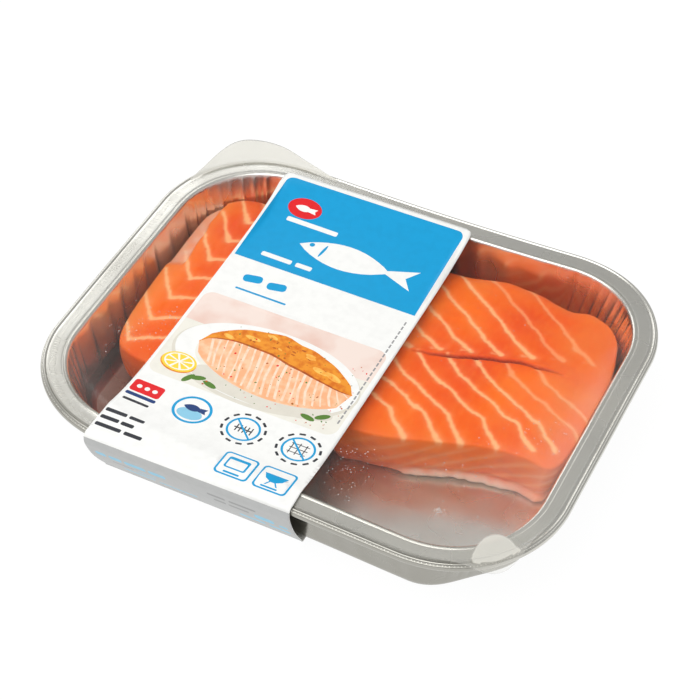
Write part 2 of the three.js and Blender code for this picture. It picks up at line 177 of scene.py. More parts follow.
def fill(tree, node, inputs):
    # sets a node's inputs: another node's output is linked, anything else is a value
    for key, value in inputs.items():
        if isinstance(value, bpy.types.NodeSocket):
            tree.links.new(value, node.inputs[key])
        else:
            node.inputs[key].default_value = value


def addNode(tree, kind, inputs, **settings):
    node = tree.nodes.new(kind)
    for name, value in settings.items():
        setattr(node, name, value)
    fill(tree, node, inputs)
    return node


def startMaterial(name):
    material = bpy.data.materials.new(name)
    material.use_nodes = True
    return material, material.node_tree, material.node_tree.nodes["Principled BSDF"]


def objectSpots(tree, scale=(1, 1, 1)):
    spots = addNode(tree, "ShaderNodeTexCoord", {}).outputs["Object"]
    return addNode(tree, "ShaderNodeMapping", {"Vector": spots, "Scale": scale}).outputs["Vector"]


def noiseNode(tree, vector, scale, detail=3, roughness=0.5):
    inputs = {"Vector": vector, "Scale": scale, "Detail": detail, "Roughness": roughness}
    return addNode(tree, "ShaderNodeTexNoise", inputs).outputs["Fac"]


def rangeNode(tree, source, low, high, toLow=0.0, toHigh=1.0):
    inputs = {"Value": source, "From Min": low, "From Max": high, "To Min": toLow, "To Max": toHigh}
    return addNode(tree, "ShaderNodeMapRange", inputs).outputs["Result"]


def mixNode(tree, share, first, second, kind="RGBA"):
    inputs = {"Factor": share, "A": first, "B": second}
    return addNode(tree, "ShaderNodeMix", inputs, data_type=kind).outputs["Result"]


def attributeValue(tree, name):
    return addNode(tree, "ShaderNodeAttribute", {}, attribute_name=name).outputs["Fac"]


def mixAttributes(tree, colour, tones, look):
    # lays one colour over another wherever the mesh's own numbers say so
    for name, tone in tones:
        colour = mixNode(tree, attributeValue(tree, name), colour, look[tone])
    return colour


def bumpNormal(tree, height, strength, distance):
    inputs = {"Height": height, "Strength": strength, "Distance": distance}
    return addNode(tree, "ShaderNodeBump", inputs).outputs["Normal"]


def joinMath(tree, operation, first, second):
    return addNode(tree, "ShaderNodeMath", {0: first, 1: second}, operation=operation).outputs["Value"]


def mixWithClear(tree, share, shader):
    # see-through where the share is 0
    clear = addNode(tree, "ShaderNodeBsdfTransparent", {}).outputs["BSDF"]
    inputs = {"Fac": share, 1: clear, 2: shader.outputs["BSDF"]}
    return addNode(tree, "ShaderNodeMixShader", inputs).outputs["Shader"]


# The inner tone is painted light on the inner wall and floor, the shaded tone is painted shade outside,
# underneath and on front-facing beads, and the reddish tone is painted shade on the floor's left end.
foilLook = {
    "colour": ink(220, 219, 212), "worn": ink(206, 204, 196), "paintedLightInside": ink(240, 236, 230),
    "shaded": ink(162, 160, 152), "leftFloorShade": ink(158, 96, 78), "patch": 60.0,
    "roughness": (0.22, 0.33), "innerRoughness": -0.03, "grain": 900.0, "grainShare": 0.05,
    "dent": 45.0, "bump": 0.2, "bumpDepth": 0.00014,
}


def foilMaterial():
    # rolled foil: fine grain lines, faint dents and slightly duller patches, with painted light on the inner
    # wall and floor, painted shade outside, underneath and on front-facing beads, and painted reddish-brown
    # shade on the floor's left end
    look = foilLook
    material, tree, shader = startMaterial("rolledFoil")
    spots = objectSpots(tree)
    patch = noiseNode(tree, spots, look["patch"], 1)
    colour = mixNode(tree, rangeNode(tree, patch, 0.2, 0.8), look["colour"], look["worn"])
    # painted light inside, painted shade outside and under, painted reddish-brown shade at the floor's left end
    colour = mixAttributes(tree, colour, (("inside", "paintedLightInside"), ("outer", "shaded"), ("leftFloorShade", "leftFloorShade")), look)
    inner = joinMath(tree, "MULTIPLY", attributeValue(tree, "inside"), look["innerRoughness"])
    rough = rangeNode(tree, patch, 0.3, 0.7, *look["roughness"])
    lines = noiseNode(tree, objectSpots(tree, (0.25, 1, 1)), look["grain"], 2)
    grain = joinMath(tree, "MULTIPLY", lines, look["grainShare"])
    height = joinMath(tree, "ADD", grain, noiseNode(tree, spots, look["dent"], 0))
    fill(tree, shader, {
        "Base Color": colour, "Metallic": 1.0, "Roughness": joinMath(tree, "ADD", rough, inner),
        "Normal": bumpNormal(tree, height, look["bump"], look["bumpDepth"]),
    })
    return material


filmLook = {
    "tone": ink(232, 230, 221), "frostVeil": 0.62, "cloud": 55.0, "cloudShares": (0.55, 1.35),
    "shine": 0.009, "shineFall": 5.0, "roughness": 0.12, "ripple": 30.0, "bump": 0.15, "bumpDepth": 0.0006,
}


def filmMaterial():
    # clear film: what it doesn't let through it reflects; haze is condensation, frost the milky patches
    look = filmLook
    material, tree, shader = startMaterial("lidFilm")
    fill(tree, shader, {"Base Color": look["tone"], "Roughness": 0.5, "Specular IOR Level": 0.3})
    spots = objectSpots(tree)
    cloud = rangeNode(tree, noiseNode(tree, spots, look["cloud"]), 0.3, 0.7, *look["cloudShares"])
    haze = joinMath(tree, "MULTIPLY", cloud, attributeValue(tree, "haze"))
    frost = rangeNode(tree, attributeValue(tree, "frost"), -0.03, 0.03)
    veil = mixNode(tree, frost, haze, look["frostVeil"], "FLOAT")
    body = mixWithClear(tree, veil, shader)
    facing = addNode(tree, "ShaderNodeLayerWeight", {"Blend": 0.5}).outputs["Facing"]
    steep = joinMath(tree, "POWER", facing, look["shineFall"])
    ripple = noiseNode(tree, spots, look["ripple"], 1)
    gloss = addNode(tree, "ShaderNodeBsdfGlossy", {
        "Color": (1, 1, 1, 1), "Roughness": look["roughness"],
        "Normal": bumpNormal(tree, ripple, look["bump"], look["bumpDepth"]),
    })
    inputs = {"Fac": rangeNode(tree, steep, 0, 1, look["shine"], 1.0), 1: body, 2: gloss.outputs["BSDF"]}
    whole = addNode(tree, "ShaderNodeMixShader", inputs).outputs["Shader"]
    fill(tree, tree.nodes["Material Output"], {"Surface": whole})
    return material


fishLook = {
    "deep": ink(236, 80, 4), "bright": ink(249, 110, 10), "pale": ink(240, 140, 62),
    "thread": ink(250, 134, 40), "fat": ink(254, 182, 124), "fleshShade": ink(226, 78, 26),
    "slitShade": ink(120, 30, 8), "membrane": ink(228, 190, 170),
    "patch": 32.0, "fibre": 700.0, "roughness": 0.4, "specular": 0.1, "coat": 0.04, "coatRoughness": 0.2,
    "depth": 0.15, "depthColours": (1.0, 0.3, 0.1), "depthReach": 0.002, "bump": 0.3, "bumpDepth": 0.0004,
}


def fishMaterial():
    # moist raw flesh: the mesh's own numbers say where it is fat, where paler, where painted light lifts it,
    # where painted shade darkens it and where membrane covers it
    look = fishLook
    material, tree, shader = startMaterial("rawSalmon")
    broad = rangeNode(tree, noiseNode(tree, objectSpots(tree), look["patch"], 2), 0.35, 0.65)
    fibre = noiseNode(tree, objectSpots(tree, (1, 0.35, 1)), look["fibre"], 3, 0.6)
    flesh = mixNode(tree, broad, look["deep"], look["bright"])
    # paler flesh with painted light on the right portion's front side, then painted shade down the sides and
    # along the split
    flesh = mixAttributes(tree, flesh, (("light", "pale"), ("fleshShade", "fleshShade")), look)
    flesh = mixNode(tree, rangeNode(tree, fibre, 0.45, 0.8, 0, 0.25), flesh, look["thread"])
    # fat lines and membrane, then painted shade deep in the slit
    flesh = mixAttributes(tree, flesh, (("fat", "fat"), ("membrane", "membrane"), ("slitShade", "slitShade")), look)
    fill(tree, shader, {
        "Base Color": flesh, "Roughness": look["roughness"], "Specular IOR Level": look["specular"],
        "Subsurface Weight": look["depth"], "Subsurface Radius": look["depthColours"],
        "Subsurface Scale": look["depthReach"], "Coat Weight": look["coat"],
        "Coat Roughness": look["coatRoughness"],
        "Normal": bumpNormal(tree, fibre, look["bump"], look["bumpDepth"]),
    })
    return material


paperLook = {"specular": 0.22, "fibre": 1600.0, "bump": 0.12, "bumpDepth": 0.0001, "mottle": 0.96}


def inkMaterial(name, colour, roughness=0.42, speckle=None, speckleScale=300.0):
    # printed paper: a colour over fine paper grain, and a second tone where a speckle is given
    look = paperLook
    material, tree, shader = startMaterial(name)
    spots = objectSpots(tree)
    second = speckle or tuple(c * look["mottle"] for c in colour[:3]) + (1.0,)
    share = rangeNode(tree, noiseNode(tree, spots, speckleScale), 0.42, 0.66)
    height = noiseNode(tree, spots, look["fibre"], 2)
    fill(tree, shader, {
        "Base Color": mixNode(tree, share, colour, second), "Roughness": roughness,
        "Specular IOR Level": look["specular"],
        "Normal": bumpNormal(tree, height, look["bump"], look["bumpDepth"]),
    })
    return material


foil = foilMaterial()
film = filmMaterial()
salmon = fishMaterial()
print("materials ready")


trayForm = {
    "cornerSteps": 100, "longSteps": 100, "shortSteps": 70, "floorRings": 26, "foldSeed": 11,
    "cornerPitch": (1.7, 2.7), "cornerDepth": (0.16, 0.34), "cornerNotch": (0.1, 0.35),
    "sidePitch": (7.5, 12.5), "sideDepth": (0.2, 0.42), "sideNotch": (0.0, 0.14),
    "crease": 2.6, "notchWide": 0.55, "lean": 0.22, "beadShade": 0.85, "floorPaintedLight": 0.15,
    "dentDepth": 0.12, "dentPitch": 26,
}

# The rim's section from the inner lip over both beads and back under: way out from the flange's edge, height.
rimSection = [
    (-6.55, -0.3), (-6.3, 0.02), (-6.0, 0.18), (-5.7, 0.25), (-5.4, 0.24), (-5.15, 0.1), (-4.95, -0.08),
    (-4.75, -0.12), (-4.5, -0.03), (-4.1, 0), (-3.4, 0), (-2.2, 0), (-1.0, 0), (-0.2, 0), (0.2, -0.01),
    (0.45, -0.05), (0.62, -0.09), (0.72, 0.04), (0.9, 0.2), (1.12, 0.28), (1.36, 0.27), (1.56, 0.16),
    (1.7, -0.03), (1.78, -0.24), (1.86, -0.4), (1.98, -0.35), (2.15, -0.38), (2.32, -0.53), (2.44, -0.78),
    (2.5, -1.1), (2.5, -1.45), (2.44, -1.85), (2.32, -2.2), (2.15, -2.46), (1.9, -2.6), (1.6, -2.6),
    (1.35, -2.52), (1.22, -2.2), (1.2, -1.5), (1.2, -0.8), (0.9, -0.58), (0.5, -0.52), (-1.5, -0.5),
    (-3.5, -0.5), (-5.2, -0.5), (-5.8, -0.7),
]


def floorArc(offset, height, radius, start, end):
    # the rounding between floor and wall, without folds
    turns = [math.radians(start + (end - start) * i / 8) for i in range(9)]
    return [(offset + radius * math.cos(a), height + radius * math.sin(a), 0.0) for a in turns]


def traySection():
    # (offset, height over the flange, fold share), from the floor up the inside and down the outside
    foilThick, depth, radius = pack["foil"], pack["trayDepth"], pack["floorRadius"]
    wallTop = -pack["flangeWidth"] - 0.7
    wallFoot = wallTop - pack["wallTaper"] + 0.35
    footHeight = foilThick - depth + radius
    wall = []
    for i in range(1, 24):
        share = i / 24
        offset = wallFoot + (wallTop - 0.05 - wallFoot) * share
        fold = math.sin(math.pi * min(1, share * 0.98)) ** 0.6
        wall.append((offset, footHeight * (1 - share) - share, fold))
    inside = floorArc(wallFoot - radius, footHeight, radius, -90, -8)
    lip = [(-6.78, -1.3, 0.3), (-6.72, -0.8, 0.12)] + [(offset, height, 0.0) for offset, height in rimSection]
    outer = [(-6.1, -1.2, 0.1)]
    outer += [(offset + foilThick, height, fold) for offset, height, fold in reversed(wall)]
    foot = floorArc(wallFoot - radius, radius - depth, radius + foilThick * 0.9, -8, -90)
    return inside + wall + lip + outer + foot


def rimLengths(x, y):
    # the length along the rim up to the point after each of its points
    return np.cumsum(np.hypot(np.diff(x, append=x[0]), np.diff(y, append=y[0])))


def wallFolds(along, height, middles):
    # creases pressed into the wall: pleats in the corners, wide tilted facets on the sides
    form = trayForm
    rng = np.random.default_rng(form["foldSeed"])
    length = float(along.max())
    inCorner = middles > 0.02
    spots, depths, notches = [], [], []
    spot, sign = 2.0, 1
    while spot < length - 2:
        if inCorner[int(np.argmin(np.abs(along[0] - spot)))]:
            spots.append(spot)
            depths.append(sign * rng.uniform(*form["cornerDepth"]))
            notches.append((spot, rng.uniform(*form["cornerNotch"])))
            spot += rng.uniform(*form["cornerPitch"])
            sign = -sign
        else:
            deep = rng.uniform(*form["sideDepth"])
            spots += [spot, spot + form["crease"]]
            depths += [deep, -deep]
            notches.append((spot, rng.uniform(*form["sideNotch"])))
            spot += rng.uniform(*form["sidePitch"])
    lean = form["lean"] * waves(along, 0 * along, 60, form["foldSeed"] + 3, 5)
    places = (along + lean * (height + 14)) % length
    total = np.interp(places, spots, depths, period=length)
    for at, notch in notches:
        total = total - notch * np.exp(-((places - at) / form["notchWide"]) ** 2)
    return total


def leftFloorShadeShare(x):
    # where painted reddish-brown shade darkens the floor, at the left end
    return 0.9 * smoothStep(-x, 54, 70)


def buildTray():
    form = trayForm
    layout = rimLayout(form["cornerSteps"], form["longSteps"], form["shortSteps"])
    count = len(layout[0])
    section = traySection()
    half = len(section) / 2
    lipRow = max(i for i, (offset, _, _) in enumerate(section) if offset < -6.5 and i < half)
    beadRow = next(i for i, (offset, _, _) in enumerate(section) if offset > 2.4)
    around = np.concatenate(([0.0], rimLengths(*rimPoints(layout, -8.0))[:-1]))
    heights = np.array([height for _, height, _ in section]).reshape(-1, 1)
    folds = wallFolds(np.tile(around, (len(section), 1)), np.tile(heights, (1, count)), layout[2])
    stack = []
    # each vertex's shares of painted light, painted shade, and painted shade at the floor's left end
    values = {"inside": [], "outer": [], "leftFloorShade": []}

    def addRing(x, y, z, *shares):
        stack.extend(np.column_stack((x, y, z + 0 * x)))
        for name, share in zip(values, shares):
            values[name].extend(np.broadcast_to(share, len(x)))

    # painted shade: beads and lip are darker where they face the front
    frontShade = form["beadShade"] * smoothStep(-layout[1][:, 1], 0.25, 0.9)
    for row, (offset, height, share) in enumerate(section):
        inner = offset < -pack["flangeWidth"]
        inset = pack["cornerInset"] * min(1, max(0, -height / pack["trayDepth"])) if inner else 0.0
        x, y = rimPoints(layout, offset + share * folds[row], inset)
        raised = offset > 0 or (row > lipRow and offset < -5)
        # painted shade on the outer wall and underside, and on beads and lip facing the front
        shade = 1.0 if row > beadRow and offset < 0.3 else frontShade if raised else 0.0
        # painted reddish-brown shade on the inner floor's left end
        leftShade = leftFloorShadeShare(x) if row < lipRow and height < -20 else 0.0
        # painted light on every row inside the lip
        addRing(x, y, flangeTop + height, float(row <= lipRow), shade, leftShade)
    faces = flipped(gridFaces(len(section), count))

    def fillFloor(ring, z, upward):
        # rings that shrink towards the middle, closed by a fan
        base = np.array(stack[ring:ring + count])
        turn = list if upward else flipped
        for k in range(1, form["floorRings"]):
            share = 1 - k / form["floorRings"]
            x, y = base[:, 0] * share, base[:, 1] * share
            start = len(stack)
            # the inner floor gets a little painted light, and painted shade at its left end; the underside gets
            # full painted shade
            if upward:
                dents = form["dentDepth"] * waves(x, y, form["dentPitch"], 4) * min(1, k / 3)
                addRing(x, y, z + dents, form["floorPaintedLight"], 0.0, leftFloorShadeShare(x))
            else:
                addRing(x, y, z, 0.0, 1.0, 0.0)
            faces.extend(turn(ringFaces(ring, start, count)))
            ring = start
        faces.extend(turn(fanFaces(ring, len(stack), count)))
        addRing(np.zeros(1), np.zeros(1), z, *((form["floorPaintedLight"], 0.0, 0.0) if upward else (0.0, 1.0, 0.0)))

    fillFloor(0, flangeTop + pack["foil"] - pack["trayDepth"], True)
    fillFloor((len(section) - 1) * count, flangeTop - pack["trayDepth"], False)
    place(makePiece("foilTray", stack, faces, [foil], values=values), "foil", "tray")


buildTray()
print("tray ready")


filmForm = {
    "backTab": {"angle": 125, "spread": 19, "wider": 27, "reach": 12.2},
    "frontTab": {"angle": -46, "spread": 16, "wider": 16, "reach": 6.2},
    "tabClear": 3.3, "tabHang": 0.9, "peelReach": 2.9, "ripple": 0.07, "ripplePitch": 30,
    "flutter": 0.25, "flutterPitch": 14,
    "patchMiddle": (84.7, -72.4), "patchLong": 15.0, "patchWide": 8.3, "patchTurn": 112,
    # shares of the way out, offsets from the rim, and shares of a tab's reach
    "innerRings": (
        0.06, 0.14, 0.22, 0.3, 0.38, 0.46, 0.54, 0.62, 0.7, 0.77, 0.83, 0.88, 0.92, 0.95, 0.975, 1.0,
    ),
    "flangeRings": (-4.8, -3.6, -2.4, -1.2, -0.4),
    "tabRings": (0.06, 0.12, 0.2, 0.3, 0.42, 0.56, 0.7, 0.84, 0.94, 1.0),
}


def tabReach(tab, x, y):
    # how far a pull tab stands out from the edge at each of the edge's points
    sideX = math.copysign(1, math.cos(math.radians(tab["angle"])))
    sideY = math.copysign(1, math.sin(math.radians(tab["angle"])))
    turn = np.degrees(np.arctan2(y - sideY * centreY, x - sideX * centreX)) - tab["angle"]
    turn = turn - 360 * np.round(turn / 360)
    near = (x * sideX > centreX - 15) & (y * sideY > centreY - 15)
    spread = np.where(turn < 0, tab["wider"], tab["spread"])
    return tab["reach"] * np.where(near, np.exp(-(turn / spread) ** 2), 0)


def frostAt(x, y, outside):
    # above 0 where the film is milky: past the flange, and on the peel patch at the front-right corner
    form = filmForm
    dx, dy = x - form["patchMiddle"][0], y - form["patchMiddle"][1]
    turn = math.radians(form["patchTurn"])
    along = (dx * math.cos(turn) + dy * math.sin(turn)) / form["patchLong"]
    across = (-dx * math.sin(turn) + dy * math.cos(turn)) / form["patchWide"]
    return np.maximum(1 - np.hypot(along, across), outside)


def hazeAt(x, y):
    # condensation: thick towards the right and the front right, thin over the rest
    right = smoothStep(x - 0.25 * y, 52, 96) * (1 - 0.55 * smoothStep(y, 20, 62))
    front = smoothStep(-y, 22, 60) * smoothStep(x, 0, 60)
    left = smoothStep(-x - 0.3 * y, 68, 96)
    return 0.006 + 0.05 * right + 0.07 * front + 0.035 * left


def buildFilm():
    form = filmForm
    layout = rimLayout(70, 70, 46)
    count = len(layout[0])
    # frost stays below 0 where the film is clear
    rows, frost = [], []
    innerX, innerY = rimPoints(layout, -pack["flangeWidth"] + 0.2)
    for share in form["innerRings"]:
        x, y = innerX * share, innerY * share
        ripple = form["ripple"] * waves(x, y, form["ripplePitch"], 5) * (1 - share ** 8)
        rows.append((x, y, ripple - sag(x, y)))
        frost.append(frostAt(x, y, -1.0))
    for offset in form["flangeRings"]:
        x, y = rimPoints(layout, offset)
        rows.append((x, y, np.zeros(count)))
        frost.append(frostAt(x, y, -1.0 if offset < -1.3 else -0.4))
    x, y = rimPoints(layout, form["flangeRings"][-1])
    outX, outY = layout[1].T
    back, front = tabReach(form["backTab"], x, y), tabReach(form["frontTab"], x, y)
    for along in form["tabRings"]:
        reach = along * (back + front + 0.1)
        hang = np.where(front > back, form["tabHang"] * np.maximum(0, reach - form["tabClear"]), 0)
        flutter = form["flutter"] * waves(x, y, form["flutterPitch"], 8) * along * (back > 2)
        rise = np.minimum(0.7 + 0.6 * along, 0.8 * reach) + flutter
        rows.append((x + outX * reach, y + outY * reach, rise - hang))
        peel = np.where((front > 0.4) & (reach < form["peelReach"]), frostAt(x, y, -0.4), -0.4)
        frost.append(np.where(back > 0.4, 1.0, peel))
    # the same sheet twice, a film's thickness apart, joined along the edge and closed in the middle
    base = flangeTop + pack["gap"]
    sides = ((base + pack["film"], 0, list), (base, len(rows) * count, flipped))
    stack = []
    for height, _, _ in sides:
        for x, y, z in rows:
            stack.extend(np.column_stack((x, y, height + z)))
    grid = gridFaces(len(rows), count)
    faces = flipped(grid) + [tuple(i + len(rows) * count for i in face) for face in grid]
    lastRing = (len(rows) - 1) * count
    faces += ringFaces(len(rows) * count + lastRing, lastRing, count)
    for height, ring, turn in sides:
        faces += turn(fanFaces(ring, len(stack), count))
        stack.append(np.array((0, 0, height - sag(0.0, 0.0))))
    spots = np.array(stack)
    milky = np.concatenate(frost + frost + [[-1.0, -1.0]])
    values = {"frost": milky, "haze": hazeAt(spots[:, 0], spots[:, 1])}
    place(makePiece("lidFilm", stack, faces, [film], values=values), "film", "film_lid")


buildFilm()
print("film ready")


def scatterTree(name, material):
    # puts a rounded blob on every point of a mesh, turned and sized by the point's own numbers
    tree = bpy.data.node_groups.new(name, "GeometryNodeTree")
    tree.interface.new_socket(name="Geometry", in_out="INPUT", socket_type="NodeSocketGeometry")
    for label in ("Length", "Width", "Height"):
        tree.interface.new_socket(name=label, in_out="INPUT", socket_type="NodeSocketFloat")
    tree.interface.new_socket(name="Geometry", in_out="OUTPUT", socket_type="NodeSocketGeometry")
    given = addNode(tree, "NodeGroupInput", {}).outputs
    blob = addNode(tree, "GeometryNodeMeshUVSphere", {"Segments": 8, "Rings": 5, "Radius": 0.5})
    inputs = {"X": given["Length"], "Y": given["Width"], "Z": given["Height"]}
    sizes = addNode(tree, "ShaderNodeCombineXYZ", inputs).outputs["Vector"]
    shaped = addNode(tree, "GeometryNodeTransform", {"Geometry": blob.outputs["Mesh"], "Scale": sizes})
    wayOut = addNode(tree, "GeometryNodeInputNamedAttribute", {"Name": "wayOut"}, data_type="FLOAT_VECTOR")
    size = addNode(tree, "GeometryNodeInputNamedAttribute", {"Name": "size"}, data_type="FLOAT")
    inputs = {"Vector": wayOut.outputs["Attribute"]}
    turn = addNode(tree, "FunctionNodeAlignRotationToVector", inputs, axis="X")
    spread = addNode(tree, "GeometryNodeInstanceOnPoints", {
        "Points": given["Geometry"], "Instance": shaped.outputs["Geometry"],
        "Rotation": turn.outputs["Rotation"], "Scale": size.outputs["Attribute"],
    })
    real = addNode(tree, "GeometryNodeRealizeInstances", {"Geometry": spread.outputs["Instances"]})
    smooth = addNode(tree, "GeometryNodeSetShadeSmooth", {"Geometry": real.outputs["Geometry"]})
    inputs = {"Geometry": smooth.outputs["Geometry"], "Material": material}
    coat = addNode(tree, "GeometryNodeSetMaterial", inputs)
    addNode(tree, "NodeGroupOutput", {"Geometry": coat.outputs["Geometry"]})
    return tree


def scatter(name, spots, waysOut, sizes, material, length, width, height):
    # spots and lengths in mm; gives back a plain mesh piece
    seeds = makePiece(name + "Seeds", spots, [], [material], values={"size": sizes})
    layer = seeds.data.attributes.new("wayOut", "FLOAT_VECTOR", "POINT")
    layer.data.foreach_set("vector", np.asarray(waysOut, dtype=np.float32).ravel())
    modifier = seeds.modifiers.new(name, "NODES")
    modifier.node_group = scatterTree(name, material)
    lengths = {"Length": length, "Width": width, "Height": height}
    for item in modifier.node_group.interface.items_tree:
        if item.name in lengths:
            modifier[item.identifier] = lengths[item.name] * mm
    graph = bpy.context.evaluated_depsgraph_get()
    mesh = bpy.data.meshes.new_from_object(seeds.evaluated_get(graph))
    piece = bpy.data.objects.new(name, mesh)
    bpy.context.scene.collection.objects.link(piece)
    bpy.data.objects.remove(seeds)
    return piece


ribForm = {
    "pitch": 1.15, "seed": 9, "edgeOffset": -1.5, "edgeSize": (2.6, 0.42, 0.15), "least": 0.3,
    "grooveOffset": 1.84, "grooveDepth": 0.36, "grooveSize": (0.9, 0.5, 0.24), "grooveTilt": -0.4,
}


def buildRibs():
    # fine ribs that the rim's rolling leaves: across the flange's edge in the corners, and in the groove
    form = ribForm
    layout = rimLayout(120, 170, 110)
    rng = np.random.default_rng(form["seed"])
    x, y = rimPoints(layout, form["edgeOffset"])
    around = rimLengths(x, y)
    picks = np.searchsorted(around, np.arange(0, around[-1] - 1, form["pitch"]))
    count = len(picks)
    x, y, normals = x[picks], y[picks], layout[1][picks]
    frontLeft = smoothStep(-x - 0.35 * y, 60, 84)
    size = np.maximum(frontLeft, 0.4 * layout[2][picks]) * rng.uniform(0.75, 1.1, count)
    keep = size > form["least"]
    spots = np.column_stack((x, y, np.full(count, flangeTop)))[keep]
    waysOut = np.column_stack((normals, np.zeros(count)))[keep]
    place(scatter("rimRibs", spots, waysOut, size[keep], foil, *form["edgeSize"]), "foil")
    x, y = rimPoints(layout, form["grooveOffset"])
    spots = np.column_stack((x[picks], y[picks], np.full(count, flangeTop - form["grooveDepth"])))
    waysOut = np.column_stack((normals, np.full(count, form["grooveTilt"])))
    size = rng.uniform(0.7, 1.1, count) * (1 - 0.75 * smoothStep(normals[:, 1], 0.0, 0.5))
    place(scatter("grooveRibs", spots, waysOut, size, foil, *form["grooveSize"]), "foil")


dropForm = {
    "seed": 23, "size": (0.55, 0.55, 0.2), "sink": 0.12, "tone": (0.95, 0.95, 0.93, 1), "roughness": 0.06,
    # each cloud's middle, spread and number of droplets; the last two, tight clouds at the front right, make a
    # painted glint of bright beads
    "clouds": [((-70, -28), 8, 90), ((-66, -14), 5, 40), ((22, -48), 9, 80), ((26, -60), 8, 60),
               ((75, -10), 12, 90), ((60, -36), 14, 80), ((0, 30), 60, 70), ((58.1, -56.5), 2.2, 46),
               ((57.2, -55.4), 1.0, 30)],
}


def dropMaterial():
    # condensation: clear beads with a bright skin
    material, tree, shader = startMaterial("condensation")
    fill(tree, shader, {"Base Color": dropForm["tone"], "Roughness": dropForm["roughness"]})
    share = rangeNode(tree, noiseNode(tree, objectSpots(tree), 400, 1), 0.3, 0.7, 0.12, 0.4)
    fill(tree, tree.nodes["Material Output"], {"Surface": mixWithClear(tree, share, shader)})
    return material


def buildDroplets():
    # loose clouds of droplets on the film's underside
    rng = np.random.default_rng(dropForm["seed"])
    under = flangeTop + pack["gap"] - dropForm["sink"]
    spots, sizes = [], []
    for (atX, atY), spread, count in dropForm["clouds"]:
        for _ in range(count):
            x, y = atX + spread * rng.normal() * 0.6, atY + spread * rng.normal() * 0.6
            size = 0.35 + 0.65 * rng.uniform() ** 2.5
            if abs(x) < 84 and abs(y) < 66:
                spots.append((x, y, under - float(sag(x, y))))
                sizes.append(size)
    waysOut = np.tile((1.0, 0.0, 0.0), (len(spots), 1))
    place(scatter("filmDroplets", spots, waysOut, sizes, dropMaterial(), *dropForm["size"]), "film")


buildRibs()
buildDroplets()
print("ribs and droplets ready")


def closedCurve(points, count):
    # a smooth closed curve through the points, with its own points evenly spaced from the first
    points = np.array(points, dtype=float)
    total = len(points)
    t = np.linspace(0, 1, 24, endpoint=False).reshape(-1, 1)
    fine = []
    for i in range(total):
        p0, p1, p2, p3 = (points[(i + k - 1) % total] for k in range(4))
        square = 2 * p0 - 5 * p1 + 4 * p2 - p3
        cube = 3 * p1 - p0 - 3 * p2 + p3
        fine.append(0.5 * (2 * p1 + (p2 - p0) * t + square * t ** 2 + cube * t ** 3))
    closed = np.vstack(fine + [fine[0][:1]])
    length = np.concatenate(([0], np.cumsum(np.hypot(*np.diff(closed, axis=0).T))))
    spots = np.linspace(0, length[-1], count, endpoint=False)
    return np.column_stack((np.interp(spots, length, closed[:, 0]), np.interp(spots, length, closed[:, 1])))


def keepInTray(x, y, z):
    # moves what is too near the wall's inner face back to a clearance from it
    strayX, strayY = stray(x, y)
    x, y = x - strayX, y - strayY
    depth = np.clip(flangeTop - z, 0, pack["trayDepth"] - pack["foil"])
    straight = pack["trayDepth"] - pack["foil"] - pack["floorRadius"]
    rounding = np.clip((depth - straight) / pack["floorRadius"], 0, 1)
    lean = pack["wallTaper"] * np.minimum(1, depth / straight)
    offset = -pack["flangeWidth"] - 1.5 - lean - pack["floorRadius"] * (1 - np.sqrt(1 - rounding ** 2))
    beyondX, beyondY = np.abs(x) - centreX, np.abs(y) - centreY
    inCorner = (beyondX > 0) & (beyondY > 0)
    angle = np.arctan2(np.maximum(beyondY, 1e-6), np.maximum(beyondX, 1e-6))
    inset = pack["cornerInset"] * (depth / pack["trayDepth"]) * np.sin(2 * angle) ** 2
    limit = pack["cornerRadius"] + offset - inset - 0.3
    share = np.minimum(1, limit / np.maximum(1e-6, np.hypot(beyondX, beyondY)))
    pull = sidePull(x, pack["halfWidth"], pack["halfLength"], pack["halfWidth"])
    limitX, limitY = pack["halfLength"] + offset, pack["halfWidth"] + offset - pull
    newX = np.where(inCorner, np.sign(x) * (centreX + beyondX * share), np.clip(x, -limitX, limitX))
    newY = np.where(inCorner, np.sign(y) * (centreY + beyondY * share), np.clip(y, -limitY, limitY))
    return newX + strayX, newY + strayY


def lineDistance(x, y, line):
    # the distance from each spot to a polyline, and how far along the line its nearest point is (0 to 1)
    line = np.array(line, dtype=float)
    lengths = np.hypot(*np.diff(line, axis=0).T)
    whole = lengths.sum()
    best, share, done = np.full(x.shape, 1e9), np.zeros(x.shape), 0.0
    for (ax, ay), (bx, by), length in zip(line[:-1], line[1:], lengths):
        t = np.clip(((x - ax) * (bx - ax) + (y - ay) * (by - ay)) / length ** 2, 0, 1)
        distance = np.hypot(x - ax - t * (bx - ax), y - ay - t * (by - ay))
        nearer = distance < best
        best = np.where(nearer, distance, best)
        share = np.where(nearer, (done + t * length) / whole, share)
        done += length
    return best, share


def fatStrength(x, y, lines, seed):
    # pale fat lines: ribbons with a wavering edge, knots here and there, wider where they end
    shiftX = x + 0.34 * waves(x, y, 9, seed) + 0.15 * waves(x, y, 2.4, seed + 1)
    shiftY = y + 0.34 * waves(x, y, 9, seed + 2) + 0.15 * waves(x, y, 2.4, seed + 3)
    knots = 0.3 * np.maximum(0, waves(x, y, 9, seed + 4)) ** 2
    total = np.zeros_like(x)
    for line, strength, width in lines:
        distance, share = lineDistance(shiftX, shiftY, line)
        band = width * (0.57 + 0.34 * share ** 8 + knots)
        core = np.exp(-(distance / band) ** 3)
        skirt = 0.25 * np.exp(-(distance / (2.2 * band)) ** 2)
        total = np.maximum(total, strength * np.minimum(1, core + skirt))
    return total


